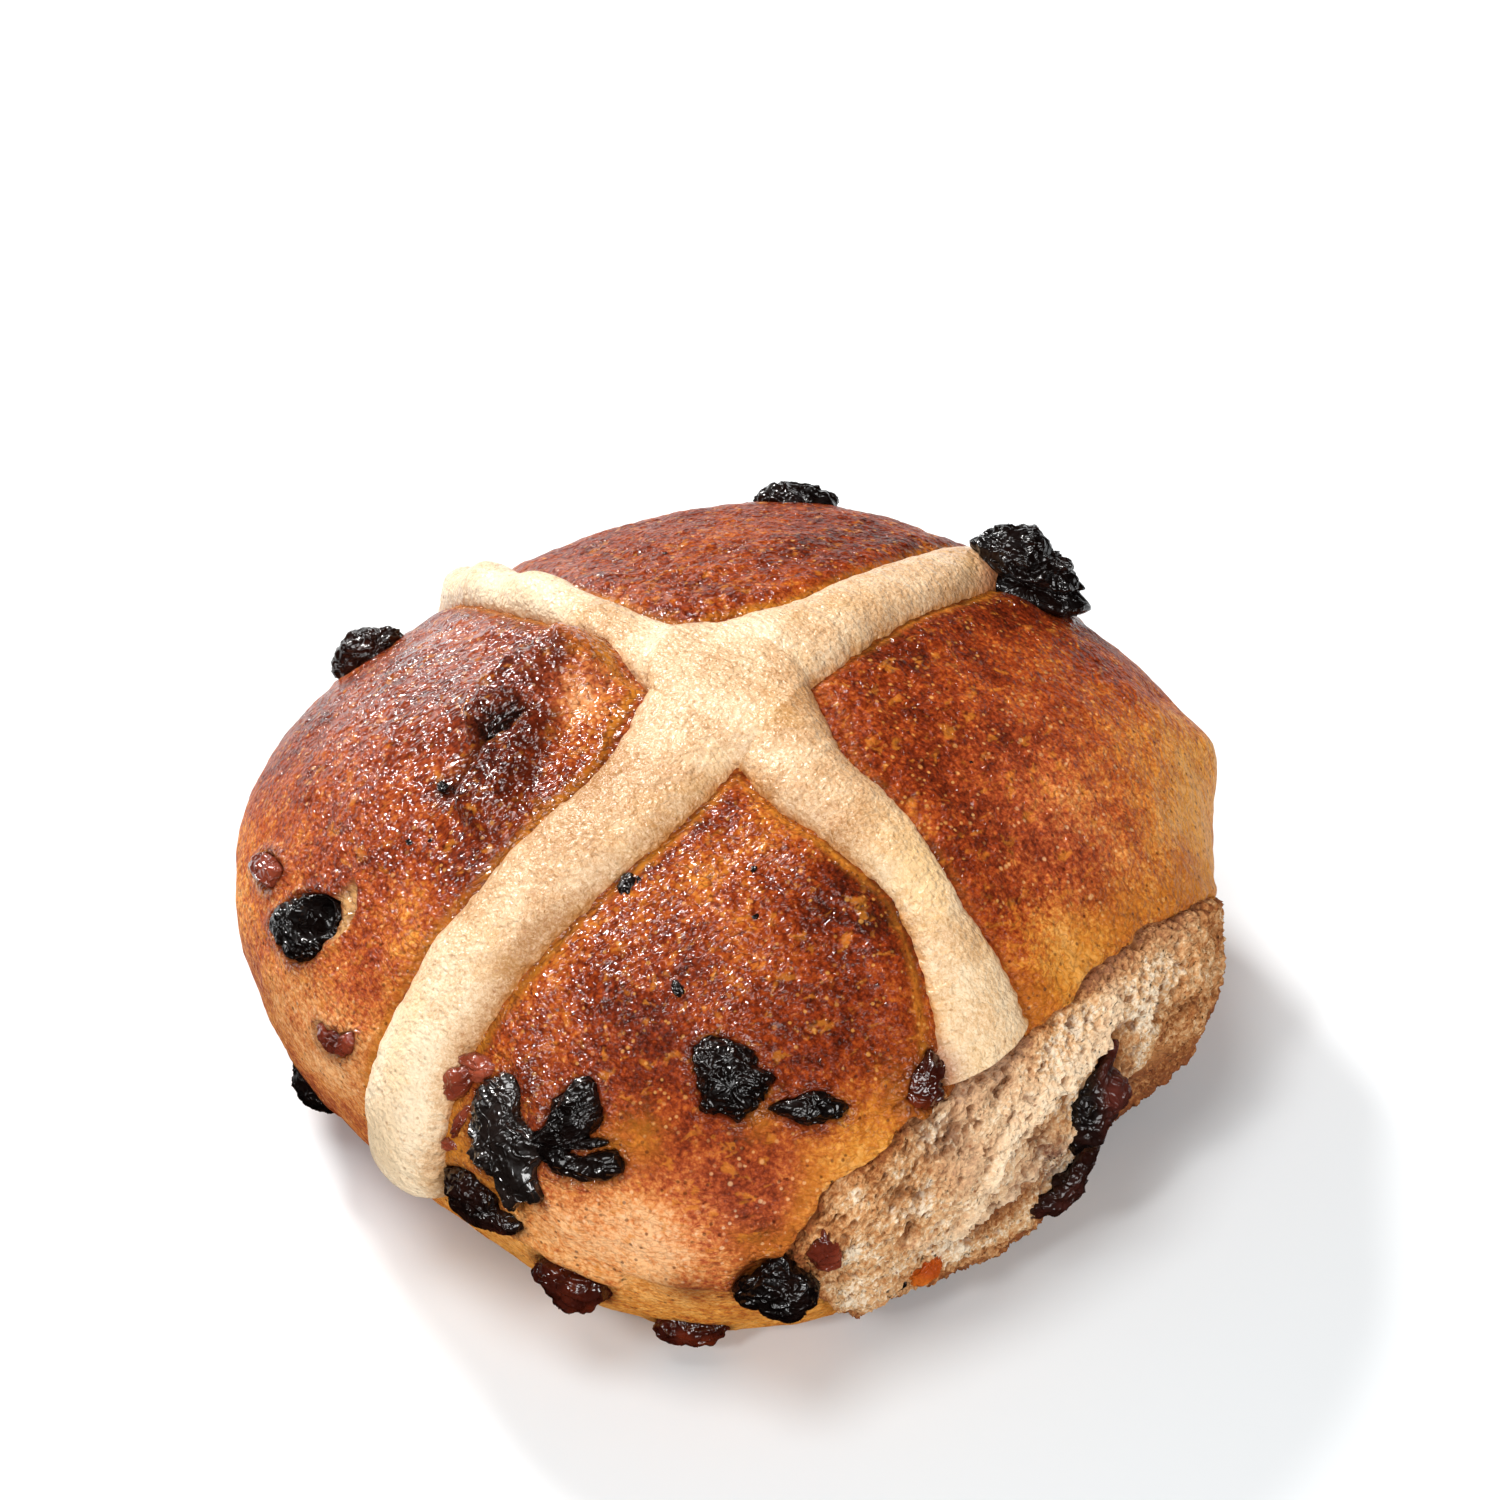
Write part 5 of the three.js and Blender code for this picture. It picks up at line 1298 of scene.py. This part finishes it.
def cross_material():
    k = Maker("flour_paste")
    tan, yellow, stain = k.attribute("paint")
    edge, low, high = k.attribute("marks")
    cloud = k.noise(4.0, 3.0, 0.55, 2.0)
    mottle = k.noise(0.9, 3.0, 0.65, 6.0)
    fuzz = k.noise(0.34, 3.0, 0.75, 9.0, 0.8)
    v = k.add(tan, k.add(k.remap(cloud, 0.3, 0.7, -0.14, 0.14), k.add(k.remap(mottle, 0.3, 0.7, -0.14, 0.14), k.remap(fuzz, 0.3, 0.7, -0.36, 0.34))))
    col = k.ramp(v, [(0.0, rgb("EBD3B1")), (0.35, rgb("DBB890")), (0.65, rgb("C99F74")), (1.0, rgb("AC7A4A"))])
    col = k.mix(k.mul(yellow, 0.5), col, rgb("D9A452"))
    d, c = k.cells(0.7, shift=1.0)
    sep = k.t.nodes.new("ShaderNodeSeparateColor")
    k.t.links.new(c, sep.inputs[0])
    dots = k.mul(k.step(d, 0.30, 0.10), k.step(sep.outputs[0], 0.5, 0.9))
    col = k.mix(k.mul(dots, 0.55), col, rgb("A0683A"))
    col = k.mix(k.mul(edge, k.remap(mottle, 0.3, 0.7, 0.25, 0.9)), col, rgb("BD7A34"))
    col = k.mix(k.mul(stain, 0.75), col, rgb("8A3C18"))
    k.link(col, k.b.inputs["Base Color"])
    k.link(k.remap(mottle, 0.3, 0.7, 0.24, 0.42), k.b.inputs["Roughness"])
    k.b.inputs["Specular IOR Level"].default_value = 0.42
    n1 = k.bumped(k.noise(1.0, 1.0, 0.4, 16.0), 0.32, 1.0)
    n2 = k.bumped(k.noise(0.42, 1.0, 0.45, 19.0, 0.3), 0.27, 1.0, n1)
    k.t.links.new(n2, k.b.inputs["Normal"])
    return k.m


def raisin_material(name, dark, mid, bright, rough=(0.30, 0.45), coat=1.0, gloss=0.10):
    k = Maker(name)
    red, high, worn = k.attribute("paint")
    fine = k.noise(0.9, 3.0, 0.6, 3.0)
    patch = k.noise(2.2, 2.0, 0.5, 5.0)
    v = k.add(red, k.remap(patch, 0, 1, -0.18, 0.18))
    col = k.ramp(v, [(0.0, dark), (0.5, mid), (1.0, bright)])
    k.link(col, k.b.inputs["Base Color"])
    k.link(k.remap(fine, 0.25, 0.75, *rough), k.b.inputs["Roughness"])
    k.b.inputs["Specular IOR Level"].default_value = gloss
    k.b.inputs["Coat Weight"].default_value = coat
    k.b.inputs["Coat Roughness"].default_value = 0.05
    k.b.inputs["Coat IOR"].default_value = 1.6
    crinkle = k.math("ABSOLUTE", k.add(k.noise(1.5, 0.6, 0.4, 12.0, 0.8), -0.5))
    small = k.noise(0.7, 0.5, 0.4, 17.0, 0.4)
    n1 = k.bumped(k.step(crinkle, 0.10, 0.0), 0.08, 1.0)
    n2 = k.bumped(small, 0.08, 1.0, n1)
    k.t.links.new(n2, k.b.inputs["Normal"])
    k.t.links.new(n2, k.b.inputs["Coat Normal"])
    return k.m


def floor_material():
    k = Maker("pale_floor")
    k.link(k.ramp(k.noise(60.0, 2.0, 0.5), [(0.0, (0.785, 0.81, 0.825)), (1.0, (0.805, 0.83, 0.845))]), k.b.inputs["Base Color"])
    k.b.inputs["Roughness"].default_value = 0.9
    k.b.inputs["Specular IOR Level"].default_value = 0.0
    return k.m


# =========================================================== build

M_CRUST, M_CRUMB, M_CROSS = crust_material(), crumb_material(), cross_material()
M_DARK = raisin_material("dried_fruit_black", rgb("090403"), rgb("160906"), rgb("3A1108"), coat=0.55)
M_GREY = raisin_material("dried_fruit_grey", rgb("150E0B"), rgb("261A16"), rgb("40251B"), rough=(0.26, 0.36), gloss=0.45)
M_MIXED = raisin_material("dried_fruit_brown", rgb("0C0503"), rgb("200B06"), rgb("521C0D"), coat=0.7)
M_AMBER = raisin_material("dried_fruit_amber", rgb("1A0602"), rgb("3A0F05"), rgb("74290C"))
M_RED = raisin_material("dried_fruit_red", rgb("36100A"), rgb("662413"), rgb("94432B"), coat=0.8)
M_DULL = raisin_material("dried_fruit_dull", rgb("0E0503"), rgb("2C1009"), rgb("56231A"), rough=(0.40, 0.55), coat=0.4)
M_PEEL = raisin_material("candied_peel", rgb("7A2A08"), rgb("B04A10"), rgb("D2761E"), coat=0.4)
FRUIT = {"dark": (M_DARK, "raisin_dark", 0.15), "mixed": (M_MIXED, "raisin_dark", 0.35), "amber": (M_AMBER, "raisin_amber", 0.5),
         "red": (M_RED, "raisin_amber", 0.5), "peel": (M_PEEL, "peel", 0.6)}

V, F, A = crust()
make("crust", V, F, A, M_CRUST, ["bun"])
V, F, A = crumb()
make("torn_crumb", V, F, A, M_CRUMB, ["bun"])
V, F, A = cross()
make("paste_cross", V, F, A, M_CROSS, ["cross"])

FLAT = {  # thickness, lift, fold size, fold depth
    "raisin_front_left_a": (3.4, 0.05, 1.5, 0.9), "raisin_front_left_b": (3.0, 0.0, 1.25, 0.9), "raisin_front": (3.2, -0.1, 1.5, 1.0),
    "raisin_front_lens": (2.6, -0.1, 1.1, 0.9), "raisin_by_cross": (3.0, -0.2, 1.3, 0.8), "raisin_below_left": (4.2, -0.2, 1.4, 0.9),
    "raisin_left_crater": (4.4, -0.75, 1.5, 1.0), "raisin_left_chip": (1.9, 0.15, 1.2, 0.7), "raisin_corner_red": (2.4, -0.1, 1.2, 0.7),
    "raisin_left_lower": (2.2, -0.2, 1.1, 0.8),
    "raisin_corner": (6.4, 0.0, 1.6, 0.9), "raisin_crumb": (5.0, 0.0, 1.7, 0.8), "raisin_base_right": (5.2, 0.0, 1.8, 0.8),
    "raisin_top_right": (6.8, 0.0, 1.9, 1.0),
}
FINE = {"raisin_front_left_a": 46, "raisin_front_left_b": 38, "raisin_front": 40, "raisin_front_lens": 30, "raisin_by_cross": 28,
        "raisin_corner": 40, "raisin_below_left": 34, "raisin_left_crater": 36, "raisin_top_right": 44, "raisin_crumb": 34,
        "raisin_base_right": 30, "raisin_bottom_amber": 24}
for seed, (name, at, size, roll, lift, kind) in enumerate(PIECES, 1):
    mat, slot_name, red = FRUIT[kind]
    rear = "rear" in name
    if name in FLAT:
        thick, lift, fold, depth = FLAT[name]
        P, F, h = flat_raisin(name, thick, seed, FINE.get(name, 22), fold, depth)
        # the one in the crumb is clear and red towards the right
        side = 0.8 * smooth(-0.4, 2.6, P[:, 0] + 0.25 * P[:, 1]) - 0.4 if name == "raisin_crumb" else 0.0
        parts = [(placed(P, OUTLINE_FRAME[name], lift), F, raisin_paint(P, h, red, seed, side))]
        if name == "raisin_front_left_b":
            for extra, th, li in (("raisin_tail", 2.6, 0.15), ("raisin_tail_upper", 1.5, 0.0)):
                P, F, h = flat_raisin(extra, th, seed + 40, 20, 1.1, 0.7)
                parts.append((placed(P, OUTLINE_FRAME[extra], li), F, raisin_paint(P, h, red, seed)))
        V, F, A = join(parts)
    else:
        P, F, h = lump(name, size, seed, 18 if rear else FINE.get(name, 22), 0.20 * (size[0] * size[1] * size[2]) ** (1 / 3) + 0.25)
        V, A = placed(P, PLACE[name], lift, roll), raisin_paint(P, h, red, seed)
    if name == "raisin_front_left_a":
        mat = M_GREY
    if name in ("raisin_crumb", "raisin_base_right"):
        mat = M_DULL
    make("fruit_" + name, V, F, A, mat, [name])

# ---------------- small things that have no solid of their own
SPECKS = [(-127.9, 33, 1.2), (-120.5, 26.3, .9), (-118.5, 28.5, .7), (-77.1, 42.9, 2.2), (-74.2, 44.6, 1.5), (-44.6, 42, 1.0), (-45, 50.3, .9),
          (-77.4, 31.9, .8), (-58.9, 30.7, 1.4), (-60.5, 29.2, .6), (-33, 45, .5), (-22, 31, .5), (35, 45, .5), (150, 33, .6), (-100, 24.5, .6),
          (-26.5, -16.0, 1.2), (100, 30, .6), (170, 20, .7), (60, 25, .5), (120, 10, .6), (-160, -5, .8)]
parts = []
for i, (a, e, s) in enumerate(SPECKS):
    P, F, h = lump("speck", (s * 1.25, s * 0.85, s * 0.6), 60 + i, 7, 0.35 * s, 1.0)
    parts.append((placed(P, local_frame(a, e), 0.02 * s, 40.0 * i), F, raisin_paint(P, h, 0.15, 60 + i)))
V, F, A = join(parts)
make("fruit_specks", V, F, A, M_DARK)

BITS = [(-87.0, 10.2, (4.6, 3.0, 2.8), 60, 0.2, 0.75), (-85.0, 12.8, (4.2, 2.6, 2.2), 20, 0.1, 0.8), (-84.6, 6.2, (3.8, 1.3, 1.3), 80, 0.1, 0.6),
        (-85.6, 2.2, (2.2, 1.6, 1.2), 20, 0.0, 0.7)]
parts = []
for i, (a, e, size, roll, lift, red) in enumerate(BITS):
    P, F, h = lump("bit", size, 90 + i, 14, 1.1, 0.8)
    parts.append((placed(P, local_frame(a, e), lift, roll), F, raisin_paint(P, h, red, 90 + i)))
V, F, A = join(parts)
make("fruit_bits", V, F, A, M_RED)

# =========================================================== floor, light, camera

# the floor is one plane in two halves: only the far half shows in the glaze, as the room before the bun is dark
M_FLOOR = floor_material()
for _name, _y0, _y1, _seen in (("floor_near", -3.0, 0.0, False), ("floor_far", 0.0, 3.0, True)):
    me = bpy.data.meshes.new(_name)
    ends = [(-3, _y0), (3, _y0), (3, _y1), (-3, _y1)]
    me.from_pydata([(x * RIGHT[0] - y * RIGHT[1], x * RIGHT[1] + y * RIGHT[0], -0.00002) for x, y in ends], [], [(0, 1, 2, 3)])
    floor = bpy.data.objects.new(_name, me)
    me.materials.append(M_FLOOR)
    bpy.context.scene.collection.objects.link(floor)
    floor.visible_glossy = _seen

world = bpy.data.worlds.new("studio")
bpy.context.scene.world = world
world.use_nodes = True
world.node_tree.nodes["Background"].inputs[0].default_value = (1.0, 1.0, 1.0, 1)
world.node_tree.nodes["Background"].inputs[1].default_value = 0.25
world.cycles_visibility.glossy = False


def area(name, az, el, distance, size, power, colour=(1, 1, 1)):
    d = direction(az, el)
    light = bpy.data.lights.new(name, "AREA")
    light.shape = "DISK"
    light.size = size
    light.energy = power
    light.color = colour
    o = bpy.data.objects.new(name, light)
    o.location = Vector(d * distance) + Vector((0, 0, 0.02))
    o.rotation_mode = "QUATERNION"
    o.rotation_quaternion = Vector(d).to_track_quat("Z", "Y")
    bpy.context.scene.collection.objects.link(o)


area("key", 166, 38, 0.75, 0.17, 6.4, (1.0, 0.985, 0.965))
area("front", -82, 40, 0.80, 0.11, 1.7)
area("top", -95, 74, 0.90, 0.42, 3.4)
area("right", -16, 33, 0.95, 0.42, 4.4)

DIST = 550.0
eye = np.array([0, 0, 22.0]) + RIGHT * 0.076 + UP * 12.161 + BACK * DIST + SHIFT
cam_data = bpy.data.cameras.new("camera")
cam_data.sensor_width = 36.0
cam_data.lens = 5995.0 / 1500.0 * 36.0
cam_data.clip_start, cam_data.clip_end = 0.01, 20.0
cam = bpy.data.objects.new("camera", cam_data)
cam.matrix_world = Matrix([[RIGHT[i], UP[i], BACK[i], eye[i] * MM] for i in range(3)] + [[0, 0, 0, 1]])
bpy.context.scene.collection.objects.link(cam)
bpy.context.scene.camera = cam

bpy.context.scene.view_settings.view_transform = "Standard"
bpy.context.scene.view_settings.look = "None"
bpy.context.scene.view_settings.exposure = 0.0
